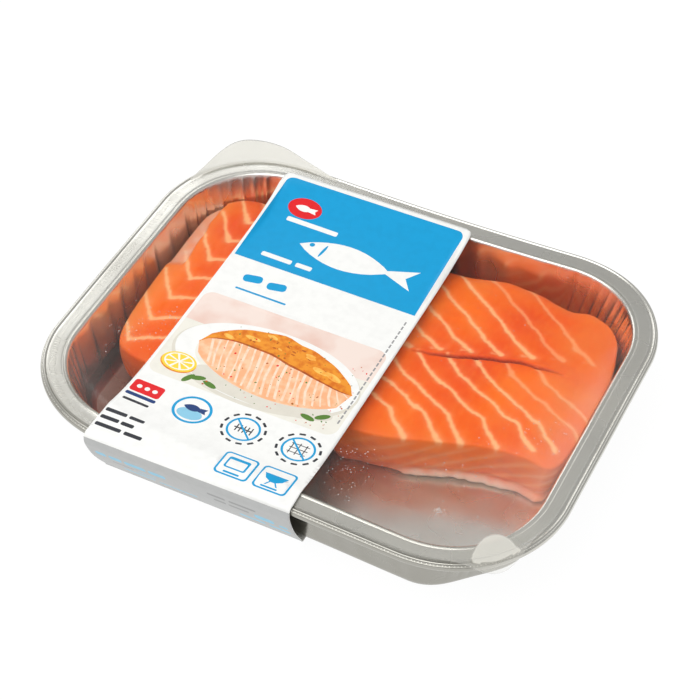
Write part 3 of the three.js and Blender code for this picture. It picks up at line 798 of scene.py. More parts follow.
rightForm = {
    "outline": [
        (3.5, -28), (14, -29), (23, -28), (32, -25.5), (43, -21.5), (52, -18.5), (61, -16.2),
        (72, -15.5), (80, -16.5), (83.5, -11), (84.8, 5), (84.8, 19), (84, 33), (82, 43.5),
        (79.5, 51), (75, 56.5), (70, 59), (65.5, 59.8), (60, 58.3), (54, 59.2), (47, 61.2),
        (40, 61.8), (34, 62.2), (28, 60.8), (20, 58.5), (9, 57), (4, 53), (2.4, 38), (2.2, 0),
    ],
    "middle": (43, 20), "lean": (0.11, 0.05), "steps": 200, "seed": 31,
    "skirt": 4.0, "streaks": 0.3, "shelf": 0.0,
    # flake lines below the split: one curve, stepped along the split
    "lowerCurve": [
        (0, 0), (5.3, -5.3), (12, -10), (19.4, -13.4), (27.4, -18), (32.8, -20), (36.8, -24.7), (42.1, -28.7),
    ],
    "lowerStart": (19.4, 13.4), "lowerStep": (10.0, 2.7), "lowerCount": (-3, 5),
    # flake lines above the split, from their end at the split back to the upper left
    "upperCurve": [(0, 0), (-8.6, 4.2), (-13.5, 8.5), (-19.5, 12.5), (-28, 18.4), (-37, 25), (-46, 33)],
    "upperStart": (26.2, 17.6), "upperStep": (10.1, 3.5), "upperCount": (-2, 6), "upperHook": (-3.2, -0.7),
    "split": [(17.5, 12.9), (24, 13.9), (33.3, 16.9), (43.5, 21.1), (53.6, 24.2), (61.1, 24.6), (68.9, 25.4)],
}
leftForm = {
    "outline": [
        (-77, -27), (-71, -31), (-62, -32.5), (-42, -33), (-18, -32), (-5.5, -30), (-2, -24),
        (-1.3, 0), (-1.5, 38), (-4, 57), (-11, 60.5), (-33, 62.5), (-63, 61.5), (-70, 60.8),
        (-76, 58), (-80, 53.4), (-82, 47), (-82.3, 37.4), (-82, 24.3), (-81.4, 5), (-80, -15),
    ],
    "middle": (-42, 15), "lean": (0.08, 0.05), "steps": 190, "seed": 57,
    "skirt": 0.0, "streaks": 0.0, "shelf": 1.6,
    # chevrons: where their tips are, and each arm's end, where it bends, its strength and its width
    "tipStart": (-64.9, 47.3), "tipStep": (-1.45, -12.2), "tipCount": (-1, 7),
    "arms": [((-10.0, 14.4), (0.45, 0.4), 0.95, 1.0), ((28.0, 16.5), (0.4, 0.34), 0.9, 0.95)],
    "split": None,
}
# What both portions share: heights and depths of their relief, and the side's profile from ridge to foot.
fleshForm = {
    "dome": 0.7, "shoulder": 1.6, "fatSink": 0.22, "splitDepth": 1.1, "lipRise": 0.6, "lipFall": 0.3,
    "rings": 26,
    "down": [0, 0.05, 0.25, 0.7, 0.92, 1.0], "bulge": [0, 0.25, 0.65, 0.8, -0.1, -1.6],
    "leanDown": [0, 0.22, 0.7, 0.94, 1.0], "leanShare": [0, 0.1, 0.55, 0.9, 1],
    "streakPitch": 10.4, "streakLean": 1.9,
}


def stepped(form, name, count):
    return tuple(start + count * step for start, step in zip(form[name + "Start"], form[name + "Step"]))


def rightLines():
    # each line: its points, strength and width; the last few fade towards the portion's end
    form = rightForm
    hookX, hookY = form["upperHook"]
    lines = []
    for k in range(*form["lowerCount"]):
        startX, startY = stepped(form, "lower", k)
        bend = 1 + 0.05 * math.sin(2.1 * k)
        line = [(startX + dx * bend, startY + dy * (1.0 - 0.02 * k)) for dx, dy in form["lowerCurve"]]
        lines.append((line, 1.0 if k < 3 else 0.55, 1.0))
    for k in range(*form["upperCount"]):
        endX, endY = stepped(form, "upper", k)
        line = [(endX + dx, endY + dy * (1.0 + 0.03 * k)) for dx, dy in reversed(form["upperCurve"])]
        lines.append((line, 0.95 if k < 4 else 0.5, 1.0))
        lines.append(([(endX, endY), (endX + hookX, endY + hookY)], 0.45 if k < 4 else 0.15, 0.7))
    return lines


def leftLines():
    form = leftForm
    lines = []
    for k in range(*form["tipCount"]):
        tipX, tipY = stepped(form, "tip", k)
        for (armX, armY), (bendX, bendY), strength, width in form["arms"]:
            line = [(tipX + armX, tipY + armY), (tipX + bendX * armX, tipY + bendY * armY), (tipX, tipY)]
            lines.append((line, strength, width))
    return lines


def wrapGrid(outline, middle, steps):
    # a square grid wrapped onto a closed outline, and how near the outline each spot is (0 to 1)
    u, v = np.meshgrid(np.linspace(-1, 1, steps + 1), np.linspace(-1, 1, steps + 1))
    reach = np.maximum(np.abs(u), np.abs(v))
    safe = np.where(reach == 0, 1, reach)
    u, v = u / safe, v / safe
    nearOne = 1 - 1e-9
    share = np.select(
        [v <= -nearOne, u >= nearOne, v >= nearOne],
        [(u + 1) / 8, 0.25 + (v + 1) / 8, 0.5 + (1 - u) / 8], 0.75 + (1 - v) / 8)
    curve = closedCurve(outline, 2400)
    index = (share % 1) * len(curve)
    low = np.floor(index).astype(int) % len(curve)
    part = (index - np.floor(index))[..., None]
    edge = curve[low] * (1 - part) + curve[(low + 1) % len(curve)] * part
    spots = np.array(middle) + (edge - np.array(middle)) * reach[..., None]
    return spots[..., 0].ravel(), spots[..., 1].ravel(), reach.ravel()


def gridBorder(steps):
    # the border vertices of a square grid, in order round it
    border = [(i, 0) for i in range(steps)] + [(steps, j) for j in range(steps)]
    border += [(i, steps) for i in range(steps, 0, -1)] + [(0, j) for j in range(steps, 0, -1)]
    return np.array([j * (steps + 1) + i for i, j in border])


def shelfShare(x, y):
    # the skin-side strip along the left portion's far edge, a step below its top
    edge = 75.0 + 0.08 * np.clip(y - 18, 0, 26) + 0.3 * waves(x, y, 6, 75)
    return smoothStep(y, 14, 20) * (1 - smoothStep(y, 53, 58)) * smoothStep(-x, edge, edge + 1.3)


def bell(distance, width):
    return np.exp(-(distance / width) ** 2)


def portionTop(form, lines):
    # the upper face: a low dome, sunk fat lines, and the split where there is one
    flesh, seed = fleshForm, form["seed"]
    x, y, reach = wrapGrid(form["outline"], form["middle"], form["steps"])
    uneven = (0.25 * waves(x, y, 30, seed + 7) + 0.10 * waves(x, y, 5, seed + 8)) * (1 - reach ** 6)
    z = fishUnder + pack["fishThick"] - flesh["dome"] * reach ** 2 - flesh["shoulder"] * reach ** 14 + uneven
    fat = fatStrength(x, y, lines, seed)
    z = z - flesh["fatSink"] * fat * (1 - reach ** 10) - form["shelf"] * shelfShare(x, y)
    fleshShade, slitShade = np.zeros_like(x), np.zeros_like(x)
    if form["split"]:
        shiftY = y + 0.25 * waves(x, y, 6, seed + 9)
        distance, share = lineDistance(x, shiftY, form["split"])
        gape = np.sin(math.pi * np.clip(share, 0.02, 0.98)) ** 0.5
        upper = smoothStep(shiftY - np.interp(x, *np.array(form["split"]).T), -0.3, 0.3)
        rise = flesh["lipRise"] * upper * bell(distance, 2.6)
        fall = flesh["lipFall"] * (1 - upper) * bell(distance, 2.0)
        z = z + gape * (rise - fall - flesh["splitDepth"] * bell(distance, 0.45))
        # painted shade along the split, darkest in the slit
        fleshShade = 0.5 * gape * bell(distance, 1.1)
        slitShade = gape * bell(distance, 0.36)
        fat = fat * (1 - 0.9 * bell(distance, 0.6))
    x, y = keepInTray(x, y, z)
    return np.column_stack((x, y, z)), fat, fleshShade, slitShade


def portionSide(form, rim):
    # rings of spots from the top's border down to the foot, and each ring's depth below the border
    flesh, seed = fleshForm, form["seed"]
    rimX, rimY, rimZ = rim.T
    middleX, middleY = form["middle"]
    away = rim[:, :2] - np.array(form["middle"])
    awayX, awayY = (away / np.linalg.norm(away, axis=1, keepdims=True)).T
    ragged = 0.35 * waves(rimX, rimY, 16, seed + 12) + 0.1 * waves(rimX, rimY, 4, seed + 15)
    skirt = form["skirt"] * smoothStep(rimX, 24, 36) * smoothStep(-rimY, 6, 12) * (0.8 + ragged)
    rings, depths = [], []
    for k in range(1, flesh["rings"] + 1):
        down = k / flesh["rings"]
        height = fishUnder + (rimZ - fishUnder) * (1 - down)
        rough = 0.22 * waves(rimX * 2 + height, rimY * 2 - height, 7, seed + 11) * math.sin(math.pi * down)
        out = np.interp(down, flesh["down"], flesh["bulge"]) + skirt * smoothStep(down, 0.8, 1.0) + rough
        lean = np.interp(down, flesh["leanDown"], flesh["leanShare"])
        x = rimX - form["lean"][0] * lean * (rimX - middleX) + awayX * out
        y = rimY - form["lean"][1] * lean * (rimY - middleY) + awayY * out
        rings.append(np.column_stack((*keepInTray(x, y, height), height)))
        depths.append(rimZ - height)
    return rings, np.concatenate(depths)


def portionMesh(form, lines):
    steps, seed = form["steps"], form["seed"]
    top, fat, fleshShade, slitShade = portionTop(form, lines)
    border = gridBorder(steps)
    rings, depth = portionSide(form, top[border])
    corners = [j * (steps + 1) + i for j in range(steps) for i in range(steps)]
    faces = [(a, a + 1, a + steps + 2, a + steps + 1) for a in corners]
    starts = [len(top) + k * len(border) for k in range(len(rings))]
    indices = [border.tolist()] + [list(range(start, start + len(border))) for start in starts]
    for upper, lower in zip(indices[:-1], indices[1:]):
        nextUpper, nextLower = upper[1:] + upper[:1], lower[1:] + lower[:1]
        faces += list(zip(upper, lower, nextLower, nextUpper))
    faces.append(tuple(reversed(indices[-1])))
    x, y = np.tile(top[border, 0], len(rings)), np.tile(top[border, 1], len(rings))
    sideFat = 0.6 * fatStrength(x, y, lines, seed) * bell(depth, 2.2)
    # below the ridge the lines fold back into long flat streaks
    shift = 1.6 * waves(x, depth * 2, 26, seed + 13)
    turn = (x - 4.0 + fleshForm["streakLean"] * depth + shift) / fleshForm["streakPitch"]
    streak = 0.5 + 0.5 * np.cos(2 * math.pi * turn)
    strength = form["streaks"] * smoothStep(x, 2, 30) * (1 - smoothStep(depth, 12, 19))
    strength = strength * (0.35 + 0.65 * smoothStep(depth, 0, 3))
    fat = np.concatenate((fat, np.maximum(sideFat, strength * streak ** 3)))
    # Painted shade: the sides darken towards the floor, more at smaller x. Between the streaks they are a
    # little darker too.
    dark = 0.1 + 0.5 * (1 - smoothStep(x, 10, 52))
    sideFleshShade = dark * smoothStep(depth, 4.0, 15) + 0.1 * (1 - streak) * smoothStep(depth, 1, 5)
    fleshShade = np.concatenate((fleshShade, sideFleshShade))
    slitShade = np.concatenate((slitShade, np.zeros(len(depth))))
    values = {"fat": np.clip(fat, 0, 1), "fleshShade": np.clip(fleshShade, 0, 1), "slitShade": slitShade}
    return np.vstack([top] + rings), faces, values


def buildPortion(name, node, slotName, form, lines, lightShare, membraneShare):
    stack, faces, values = portionMesh(form, lines)
    values["light"] = lightShare(*stack.T)
    values["membrane"] = membraneShare(*stack.T)
    place(makePiece(name, stack, faces, [salmon], values=values), slotName, node)


def rightLight(x, y, z):
    # painted light on the front side below the top edge; paler towards the right end, varying at random
    face = 0.12 * smoothStep(fishUnder + pack["fishThick"] - z, 1.5, 5) * smoothStep(-y, 0, 8)
    return np.clip(face + 0.26 * smoothStep(x + 0.25 * y, 54, 92) + 0.12 * waves(x, y, 16, 71), 0, 0.85)


def leftLight(x, y, z):
    return np.clip(0.6 * smoothStep(-x, 68, 82) + 0.12 * waves(x, y, 16, 72), 0, 0.8)


def rightMembrane(x, y, z):
    low = 1 - smoothStep(z + 0.7 * waves(x, y, 6, 73), fishUnder + 1.4, fishUnder + 4.6)
    return 0.92 * low * smoothStep(x, 26, 36) * (1 - 0.6 * smoothStep(x, 62, 74)) * smoothStep(-y, 5, 12)


def leftMembrane(x, y, z):
    return np.clip(0.5 + 0.14 * waves(x, y, 5, 74), 0, 0.8) * shelfShare(x, y)


buildPortion(
    "salmonRight", "fillet_right", "salmon_right", rightForm, rightLines(), rightLight, rightMembrane)
buildPortion("salmonLeft", "fillet_left", "salmon_left", leftForm, leftLines(), leftLight, leftMembrane)
print("portions ready")


labelForm = {
    "back": 72.0, "left": -61.2, "right": 15.2, "waist": 0.7, "waistReach": 76, "corner": 3.5, "underEnd": 40.0,
    "front": 79.6, "bendRadius": 1.0, "skew": (0.009, 0.005), "lean": -1.6, "frontDrop": 3.0,
    "footLine": 66.4, "footTurn": 0.018, "footHeight": 1.6, "bulge": 1.0, "grid": 1.5,
}


def labelPath(x):
    # the stretches beyond the top panel: fold, short drop, leaning front panel, foot
    form = labelForm
    over = flangeTop + 2 * pack["gap"] + pack["film"] + pack["paper"] / 2
    dropTop = over - form["bendRadius"]
    frontZ = flangeTop - form["frontDrop"]
    footY = -form["footLine"] - form["footTurn"] * (x - (form["left"] + form["right"]) / 2)
    slant = np.hypot(footY + form["front"], frontZ - form["footHeight"])
    footRadius = form["footHeight"] - pack["paper"] / 2
    return over, dropTop, frontZ, footY, slant, footRadius


def labelSurface(x, v):
    # the label's middle surface: v is y on the top panel, and goes on as a length over the fold and below
    form = labelForm
    over, dropTop, frontZ, footY, slant, footRadius = labelPath(x)
    bend, front, footZ = form["bendRadius"], form["front"], form["footHeight"]
    s = bend - front - v
    angle = np.clip(s / bend, 0, math.pi / 2)
    y = np.where(s > 0, bend - front - bend * np.sin(angle), v)
    z = np.where(s > 0, over - bend * (1 - np.cos(angle)), over - sag(x, v))
    s = s - bend * math.pi / 2
    z = np.where(s > 0, dropTop - np.clip(s, 0, dropTop - frontZ), z)
    s = s - (dropTop - frontZ)
    share = np.clip(s / slant, 0, 1)
    y = np.where(s > 0, -front + (footY + front) * share - form["bulge"] * np.sin(math.pi * share), y)
    z = np.where(s > 0, frontZ + (footZ - frontZ) * share, z)
    s = s - slant
    angle = np.clip(s / footRadius, 0, math.pi / 2)
    y = np.where(s > 0, footY + footRadius * (1 - np.cos(angle)), y)
    z = np.where(s > 0, pack["paper"] / 2 + footRadius * (1 - np.sin(angle)), z)
    s = s - footRadius * math.pi / 2
    y = np.where(s > 0, footY + footRadius + s, y)
    return np.column_stack((x, y, z))


def labelLengths():
    # v where the front panel starts, its slant, and v where the bottom panel ends
    form = labelForm
    _, dropTop, frontZ, footY, slant, footRadius = labelPath((form["left"] + form["right"]) / 2)
    frontStart = form["bendRadius"] * (1 - math.pi / 2) - form["front"] - (dropTop - frontZ)
    footEnd = frontStart - slant - footRadius * math.pi / 2
    return frontStart, float(slant), float(footEnd - (form["underEnd"] - footY - footRadius))


def labelSides(v):
    form = labelForm
    frontStart, slant, _ = labelLengths()
    onTop = v > form["bendRadius"] - form["front"]
    waist = form["waist"] * (1 - min(1, abs(v) / form["waistReach"]) ** 5) if onTop else 0.0
    along = form["back"] - v if onTop else form["back"] + form["front"]
    down = form["lean"] * min(1, max(0, (frontStart - v) / slant))
    left = form["left"] + waist + form["skew"][0] * along + down
    return left, form["right"] - waist + form["skew"][1] * along + down


def labelOutline():
    radius, back = labelForm["corner"], labelForm["back"]
    end = labelLengths()[2]
    steps = 150
    # the rounded back corners, then straight on down both sides
    path = []
    for i in range(9):
        turn = math.radians(90 * i / 8)
        path.append((back - radius * (1 - math.cos(turn)), radius * (1 - math.sin(turn))))
    path += [(back - radius + (end - back + radius) * i / steps, 0.0) for i in range(1, steps + 1)]
    left = [(labelSides(v)[0] + inset, v) for v, inset in path]
    right = [(labelSides(v)[1] - inset, v) for v, inset in path]
    return left + right[::-1]


def turned(points, x, y, degrees):
    cosine, sine = math.cos(math.radians(degrees)), math.sin(math.radians(degrees))
    ways = [(px - x, py - y) for px, py in points]
    return [(x + dx * cosine - dy * sine, y + dx * sine + dy * cosine) for dx, dy in ways]


def disc(x, y, radius, count=40, squash=1.0, degrees=0.0):
    turns = [2 * math.pi * i / count for i in range(count)]
    points = [(x + radius * math.cos(a), y + radius * squash * math.sin(a)) for a in turns]
    return turned(points, x, y, degrees)


def panel(x0, y0, x1, y1, radius=0.0, rounded=(1, 1, 1, 1)):
    # an upright rectangle with rounded corners: lower left, lower right, upper right, upper left
    corners = [(x0, y0, 1, 1, 180), (x1, y0, -1, 1, 270), (x1, y1, -1, -1, 0), (x0, y1, 1, -1, 90)]
    points = []
    for (x, y, inX, inY, start), isRound in zip(corners, rounded):
        if not (isRound and radius > 0):
            points.append((x, y))
            continue
        for i in range(7):
            a = math.radians(start + 15 * i)
            points.append((x + radius * (inX + math.cos(a)), y + radius * (inY + math.sin(a))))
    return points


def fishShape(x, y, length, height):
    # a plain fish seen from the side: a lens-shaped body with a forked tail
    body = 0.78 * length
    nose, tail = x - body / 2, x + body / 2
    edge = [(nose + body * i / 12, height / 2 * math.sin(math.pi * i / 12) ** 0.8) for i in range(12)]
    upper = [(px, y + rise) for px, rise in edge] + [(tail - 1.2, y + 0.9)]
    fin, fork, tall = tail + 0.22 * length, tail + 0.14 * length, 0.42 * height
    lower = [(tail - 1.2, y - 0.9)] + [(px, y - rise) for px, rise in edge[10:0:-1]]
    return upper + [(fin, y + tall), (fork, y), (fin, y - tall)] + lower


# Each ink's material and colour, then its roughness and a second, speckled colour where it has them.
inkTones = {
    "paperWhite": ("paperWhite", (243, 243, 240)),
    "sky": ("printSky", (10, 156, 211), 0.4),
    "red": ("printRed", (226, 32, 38)),
    "navy": ("printNavy", (38, 66, 120)),
    "cream": ("printCream", (236, 233, 222)),
    "shade": ("printShade", (222, 217, 204)),
    "gold": ("printGold", (236, 150, 44), 0.4, ink(214, 112, 26), 420.0),
    "honey": ("printHoney", (250, 196, 96), 0.4, ink(242, 160, 58), 420.0),
    "toast": ("printToast", (190, 96, 30), 0.4, ink(160, 72, 24), 420.0),
    "blush": ("printBlush", (246, 178, 132), 0.4, ink(250, 202, 164), 300.0),
    "flake": ("printFlake", (252, 222, 198), 0.4, ink(248, 204, 172), 420.0),
    # painted shade: the front panel's paper, darker
    "paperShade": ("paperFront", (184, 185, 184)),
    "rose": ("printRose", (240, 222, 212), 0.4, ink(230, 196, 182), 60.0),
    "lemon": ("printLemon", (250, 214, 70)),
    "leaf": ("printLeaf", (88, 128, 52)),
    "grey": ("printGrey", (150, 150, 150)),
    "dark": ("printDark", (52, 54, 60)),
    "paleSky": ("printPaleSky", (140, 200, 226)),
}
inks = {name: inkMaterial(label, ink(*tone), *rest) for name, (label, tone, *rest) in inkTones.items()}


serving = {
    "field": (-58.5, -41.0, 12.8, 4.0), "cloth": (-58.5, -41.0, 12.8, -12.0), "plate": (-22.0, -21.5, 35.0),
    "left": -49.0, "length": 59.0, "base": -20.5, "crown": 18.0, "crust": 11.0, "belly": 13.0,
    "flakes": 21, "crumbs": 26, "herbs": 110, "lemon": (-50.0, -32.5, 0.72), "wedges": 8,
    "wedge": [(0.7, 0), (4.9, -0.3), (5.0, 0), (4.9, 0.3)],
    "leaves": [
        (-40.5, -36.5, 20), (-35.5, -37.6, -15), (-43.5, -38.0, 60), (5.5, -34.0, 35), (1.0, -36.4, -10),
    ],
}


def bakedPortion(add, rng):
    # a baked portion seen from the side: pale flaky flesh under a crumbly crust
    form = serving
    left, length, base = form["left"], form["length"], form["base"]
    shares = np.linspace(0, 1, 26)
    x = left + length * shares
    wobble = 0.5 * waves(shares * length, 0 * shares, 9, 21)
    rise = np.sin(math.pi * shares) ** 0.55
    top = base + form["crown"] * rise * (1 - 0.3 * shares) + wobble * rise
    ridge = top - form["crust"] * rise * (0.75 + 0.5 * shares) - 0.5 * wobble * rise
    foot = base - 3.0 * shares - form["belly"] * np.sin(math.pi * shares) ** 0.5

    def strip(upper, lower):
        return list(zip(x, upper)) + list(zip(x[-2:0:-1], lower[-2:0:-1]))

    add("shade", disc(left + 0.52 * length, base - 12.5, 27, 48, 0.24))
    add("blush", strip(ridge + 0.6, foot))
    for k in range(form["flakes"]):
        share = 0.06 + 0.88 * k / (form["flakes"] - 1)
        high, low = np.interp(share, shares, ridge), np.interp(min(1, share + 0.07), shares, foot)
        at, wide = left + length * share, rng.uniform(0.5, 1.1)
        bow = rng.uniform(1.0, 2.4)
        side = [(at, high), (at + bow, (high + low) / 2), (at + length * 0.06, low + 1.2)]
        add("flake", side + [(px + wide, py) for px, py in reversed(side)])
    add("gold", strip(top, ridge))
    add("toast", strip(ridge + 0.9 * rise, ridge))
    for _ in range(form["crumbs"]):
        share = rng.uniform(0.1, 0.9)
        high, low = np.interp(share, shares, top), np.interp(share, shares, ridge)
        y = low + (high - low) * rng.uniform(0.35, 0.85)
        name = ("honey", "honey", "toast")[int(rng.integers(3))]
        size = rng.uniform(1.0, 3.4) if name == "honey" else rng.uniform(0.3, 0.9)
        add(name, disc(left + length * share, y, size, 18, 0.38, rng.uniform(-25, 5)))


def servingPicture(add):
    # a generic baked portion on a plate with a lemon slice and leaves
    form = serving
    rng = np.random.default_rng(5)
    plateX, plateY, size = form["plate"]
    add("rose", panel(*form["field"], 4.0))
    add("cream", panel(*form["cloth"], 4.0, (1, 1, 0, 0)))
    add("shade", disc(plateX, plateY - 0.9, size, 72, 0.54))
    add("paperWhite", disc(plateX, plateY, size - 0.8, 72, 0.53))
    add("cream", disc(plateX, plateY - 0.6, size - 8.5, 64, 0.5))
    bakedPortion(add, rng)
    x, y, squash = form["lemon"]
    for name, drop, radius in (("gold", -0.5, 6.6), ("lemon", 0.0, 6.4), ("paperWhite", 0.1, 5.5)):
        add(name, disc(x, y + drop, radius, 40, squash))
    for k in range(form["wedges"]):
        spots = [(r, 2 * math.pi * k / form["wedges"] + turn) for r, turn in form["wedge"]]
        add("lemon", [(x + r * math.cos(a), y + 0.1 + squash * r * math.sin(a)) for r, a in spots])
    add("leaf", *(disc(leafX, leafY, 2.8, 14, 0.4, turn) for leafX, leafY, turn in form["leaves"]))
    for _ in range(form["herbs"]):
        x, y = rng.uniform(-40, 10), rng.uniform(-39.5, -5)
        spot = disc(x, y, rng.uniform(0.18, 0.5), 7, rng.uniform(0.4, 1), math.degrees(rng.uniform(0, 3)))
        add(("leaf", "red", "toast")[int(rng.choice(3, p=(0.4, 0.3, 0.3)))], spot)


# The bars on the front panel: left, right, middle and thickness.
frontBars = {
    "paleSky": [
        (-57.5, -53.5, -90.0, 3.4), (-52.4, -47.6, -90.0, 3.4), (-46.5, -38.5, -90.0, 3.4),
        (-37.4, -31.0, -90.0, 3.4), (-43, -36, -96.0, 1.0), (-50, -38, -100.6, 1.9),
        (-36.5, -22, -101.2, 1.9), (1.2, 8.4, -94.2, 4.2), (10.0, 13.2, -95.4, 2.6),
        (-6, 3.5, -101.0, 2.8), (5.0, 12.8, -101.0, 2.8),
    ],
    "grey": [
        (-15, -8.4, -88.4, 1.8), (-7, 2.8, -88.4, 1.8), (-52.5, -44.5, -95.2, 1.0), (-13.5, -9, -92.8, 1.7),
        (-8, -0.5, -92.8, 1.7), (-51, -20, -106.6, 0.7),
    ],
}


def printShapes():
    # the label's print, back to front: (ink, outline) in the label's own x and v
    shapes = []

    def add(name, *outlines):
        # outlines all run anticlockwise, because the triangles are found by that
        for points in outlines:
            area = sum(a[0] * b[1] - b[0] * a[1] for a, b in zip(points, points[1:] + points[:1]))
            shapes.append((name, points if area > 0 else points[::-1]))

    # blue field with a plain round badge, a fish outline and bars
    add("sky", panel(-58.9, 25.2, 12.6, 69.6, 2.8, (0, 0, 1, 1)))
    add("red", disc(-46.5, 57.5, 6.6, 48, 0.72))
    add("paperWhite", fishShape(-46.9, 57.5, 8.6, 3.0), fishShape(-22.5, 41.0, 46, 12.5))
    add("sky", disc(-36.0, 42.4, 1.0, 16), disc(-31.0, 41.0, 3.4, 24, 0.16, 82))
    for x0, x1, y0 in ((-50.5, -30, 49.7), (-50.5, -38.5, 29.3), (-36.8, -30.5, 29.3)):
        add("paperWhite", panel(x0, y0, x1, y0 + 2.2, 0.6))
    # two portion marks under the field, over a thin bar
    add("sky", *(turned(panel(x, 14.6, x + 7.2, 18.4, 1.5), x + 3.6, 16.5, 12) for x in (-50.5, -41.0)))
    add("sky", panel(-50.5, 9.4, -30.5, 10.3, 0.4))
    servingPicture(add)
    # a broken line along the right edge
    add("grey", *(panel(11.0, 19.1 - 2.55 * k, 11.6, 21 - 2.55 * k, 0.25) for k in range(22)))
    # row of marks: red panel with three dots over a navy bar, badge, two crossed rings
    add("red", panel(-58.3, -53.0, -47.0, -46.8, 1.2))
    add("navy", panel(-58.3, -55.4, -47.0, -53.8, 0.6))
    add("paperWhite", *(disc(x, -49.9, 0.95, 20) for x in (-55.6, -52.65, -49.7)))
    add("dark", panel(-57.6, -58.4, -47.8, -57.2, 0.5))
    add("sky", disc(-34.6, -51.5, 6.9, 48))
    add("paperWhite", disc(-34.6, -51.5, 5.9, 48))
    add("paleSky", disc(-34.6, -53.6, 4.6, 36, 0.62))
    add("navy", fishShape(-34.9, -50.4, 8.6, 3.2))
    rings, ringY = (-15.2, 5.2), -51.6
    for x in rings:
        add("sky", disc(x, ringY, 5.9, 48))
        add("paperWhite", disc(x, ringY, 5.1, 48))
    add("dark", panel(-18.6, -51.9, -12.0, -51.3))
    add("dark", *(panel(-17.9 + 1.35 * k, -53.4, -17.45 + 1.35 * k, -49.8) for k in range(5)))
    add("dark", *(panel(2.4 + 2.4 * k, -54.6, 2.75 + 2.4 * k, -48.6) for k in range(3)))
    add("dark", *(panel(1.9, -53.8 + 2.1 * k, 8.5, -53.45 + 2.1 * k) for k in range(3)))
    for x in rings:
        add("sky", turned(panel(x - 5.3, ringY - 0.35, x + 5.3, ringY + 0.35), x, ringY, -45))
        tick = panel(x - 1.1, ringY + 7.0, x + 1.1, ringY + 7.9, 0.3)
        add("dark", *(turned(tick, x, ringY, 30 * k + 15) for k in range(12)))
    # date bars and two cooking marks
    for v, length in ((-66.0, 14.5), (-69.6, 12.5), (-73.2, 17.5)):
        for start, end in ((0, 0.55), (0.62, 1)):
            add("dark", panel(-59.0 + start * length, v - 1.0, -59.0 + end * length, v + 0.6, 0.5))
    for x in (-14.4, -0.4):
        add("sky", panel(x, -75.2, x + 12.2, -63.8, 1.6))
        add("paperWhite", panel(x + 0.7, -74.5, x + 11.5, -64.5, 1.2))
    add("sky", panel(-12.2, -71.8, -4.4, -66.0, 0.8))
    add("paperWhite", panel(-11.5, -71.2, -5.1, -67.4, 0.5))
    add("sky", panel(-11.2, -74.0, -5.4, -73.2, 0.3))
    add("sky", [(1.4, -67.4), (9.8, -67.4), (8.6, -70.0), (6.4, -71.2), (4.8, -71.2), (2.6, -70.0)])
    add("sky", [(4.4, -71.0), (5.0, -71.0), (3.8, -72.8), (3.2, -72.8)])
    add("sky", [(6.2, -71.0), (6.8, -71.0), (8.0, -72.8), (7.4, -72.8)])
    add("sky", panel(2.4, -74.0, 8.4, -73.3, 0.3))
    # front panel: the paper printed darker as painted shade, with bars
    add("paperShade", panel(-72, -112, 26, -80.2))
    for name, bars in frontBars.items():
        add(name, *(panel(x0, v - thick / 2, x1, v + thick / 2, thick * 0.3) for x0, x1, v, thick in bars))
    return shapes


def buildLabel():
    form = labelForm
    shapes = [("paperWhite", labelOutline())] + printShapes()
    coords, areas = [], []
    for _, points in shapes:
        areas.append(list(range(len(coords), len(coords) + len(points))))
        coords.extend(points)
    for v in np.arange(labelLengths()[2] + 0.8, form["back"], form["grid"]):
        for x in np.arange(form["left"] - 3, form["right"] + 5, form["grid"]):
            coords.append((float(x), float(v)))
    verts, _, triangles, _, _, owners = delaunay_2d_cdt([Vector(c) for c in coords], [], areas, 0, 1e-5)
    # a triangle belongs to the front-most shape over it, and is dropped outside the label's outline
    keep = [(triangle, max(owner)) for triangle, owner in zip(triangles, owners) if 0 in owner]
    used = sorted({i for triangle, _ in keep for i in triangle})
    index = {old: new for new, old in enumerate(used)}
    count = len(used)
    x, v = np.array([tuple(verts[i]) for i in used]).T
    step = 0.01
    along = labelSurface(x, v - step) - labelSurface(x, v + step)
    along[:, 0] = 0
    along /= np.linalg.norm(along, axis=1, keepdims=True)
    normal = np.column_stack((np.zeros(count), along[:, 2], -along[:, 1]))
    middle, half = labelSurface(x, v), normal * pack["paper"] / 2
    names = list(inks)
    faces, faceInks, edges = [], [], set()
    for triangle, owner in keep:
        outer = tuple(index[i] for i in triangle)
        faces += [outer, tuple(i + count for i in reversed(outer))]
        faceInks += [names.index(shapes[owner][0]), 0]
        edges.update(zip(outer, outer[1:] + outer[:1]))
    rim = sorted((i, j) for i, j in edges if (j, i) not in edges)
    faces += [(j, i, i + count, j + count) for i, j in rim]
    faceInks += [0] * len(rim)
    points = np.vstack((middle + half, middle - half))
    place(makePiece("paperLabel", points, faces, list(inks.values()), faceInks), "paper", "label")


buildLabel()
print("label ready")


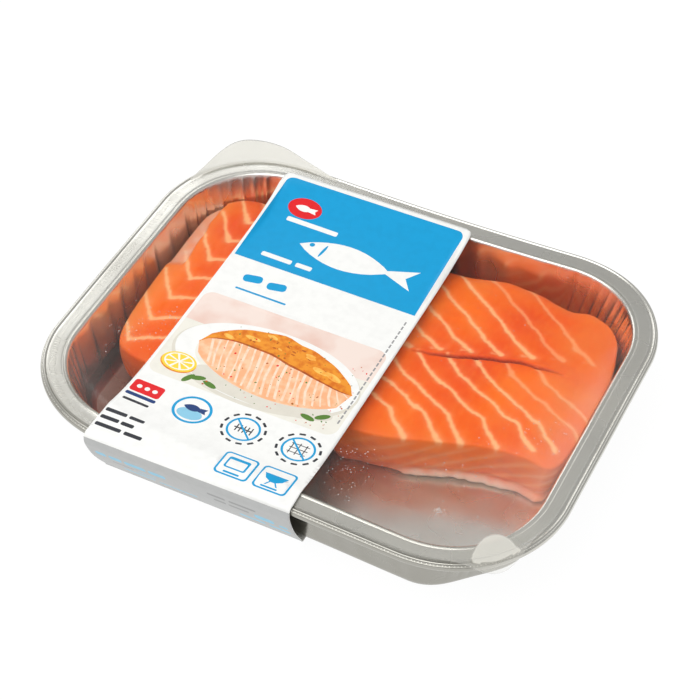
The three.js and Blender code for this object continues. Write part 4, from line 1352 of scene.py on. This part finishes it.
cameraView = {
    "eye": (0.2230, -0.4932, 0.5510), "aim": (0.0010, -0.0034, 0.0286), "roll": 1.69,
    "lens": 112.07, "sensor": 36.0,
}


def facing(start, end):
    return (Vector(end) - Vector(start)).to_track_quat("-Z", "Y")


def buildCamera():
    data = bpy.data.cameras.new("photoCamera")
    data.lens = cameraView["lens"]
    data.sensor_width = cameraView["sensor"]
    data.clip_start = 0.01
    camera = bpy.data.objects.new("photoCamera", data)
    bpy.context.scene.collection.objects.link(camera)
    camera.location = cameraView["eye"]
    roll = Euler((0, 0, math.radians(cameraView["roll"]))).to_quaternion()
    camera.rotation_euler = (facing(cameraView["eye"], cameraView["aim"]) @ roll).to_euler()
    bpy.context.scene.camera = camera


studio = {
    "floorSize": 6, "floorTone": (0.08, 0.08, 0.08, 1), "floorGlow": 0.95, "world": 0.5,
    "key": {"at": (-0.2, -0.5, 1.05), "size": (1.5, 1.2), "watts": 11.8},
    "side": {"at": (-0.72, 0.62, 0.56), "size": (0.7, 0.5), "watts": 1.8},
}


def buildStudio():
    # a faintly glowing white floor, an even white world and two soft lamps
    scene = bpy.context.scene
    bpy.ops.mesh.primitive_plane_add(size=studio["floorSize"])
    floor = bpy.context.object
    floor.name = "studioFloor"
    material, tree, shader = startMaterial("studioFloor")
    fill(tree, shader, {
        "Base Color": studio["floorTone"], "Roughness": 0.9, "Specular IOR Level": 0.0,
        "Emission Color": (1, 1, 1, 1), "Emission Strength": studio["floorGlow"],
    })
    floor.data.materials.append(material)
    scene.world = bpy.data.worlds.new("studio")
    scene.world.use_nodes = True
    tree = scene.world.node_tree
    fill(tree, tree.nodes["Background"], {"Color": (1, 1, 1, 1), "Strength": studio["world"]})
    for name in ("key", "side"):
        lamp = studio[name]
        data = bpy.data.lights.new(name, "AREA")
        data.shape = "RECTANGLE"
        data.size, data.size_y = lamp["size"]
        data.energy = lamp["watts"]
        light = bpy.data.objects.new(name, data)
        scene.collection.objects.link(light)
        light.location = lamp["at"]
        light.rotation_euler = facing(lamp["at"], (0, 0, 0)).to_euler()
    scene.view_settings.view_transform = "Standard"


buildCamera()
buildStudio()
print("camera, floor and light ready")
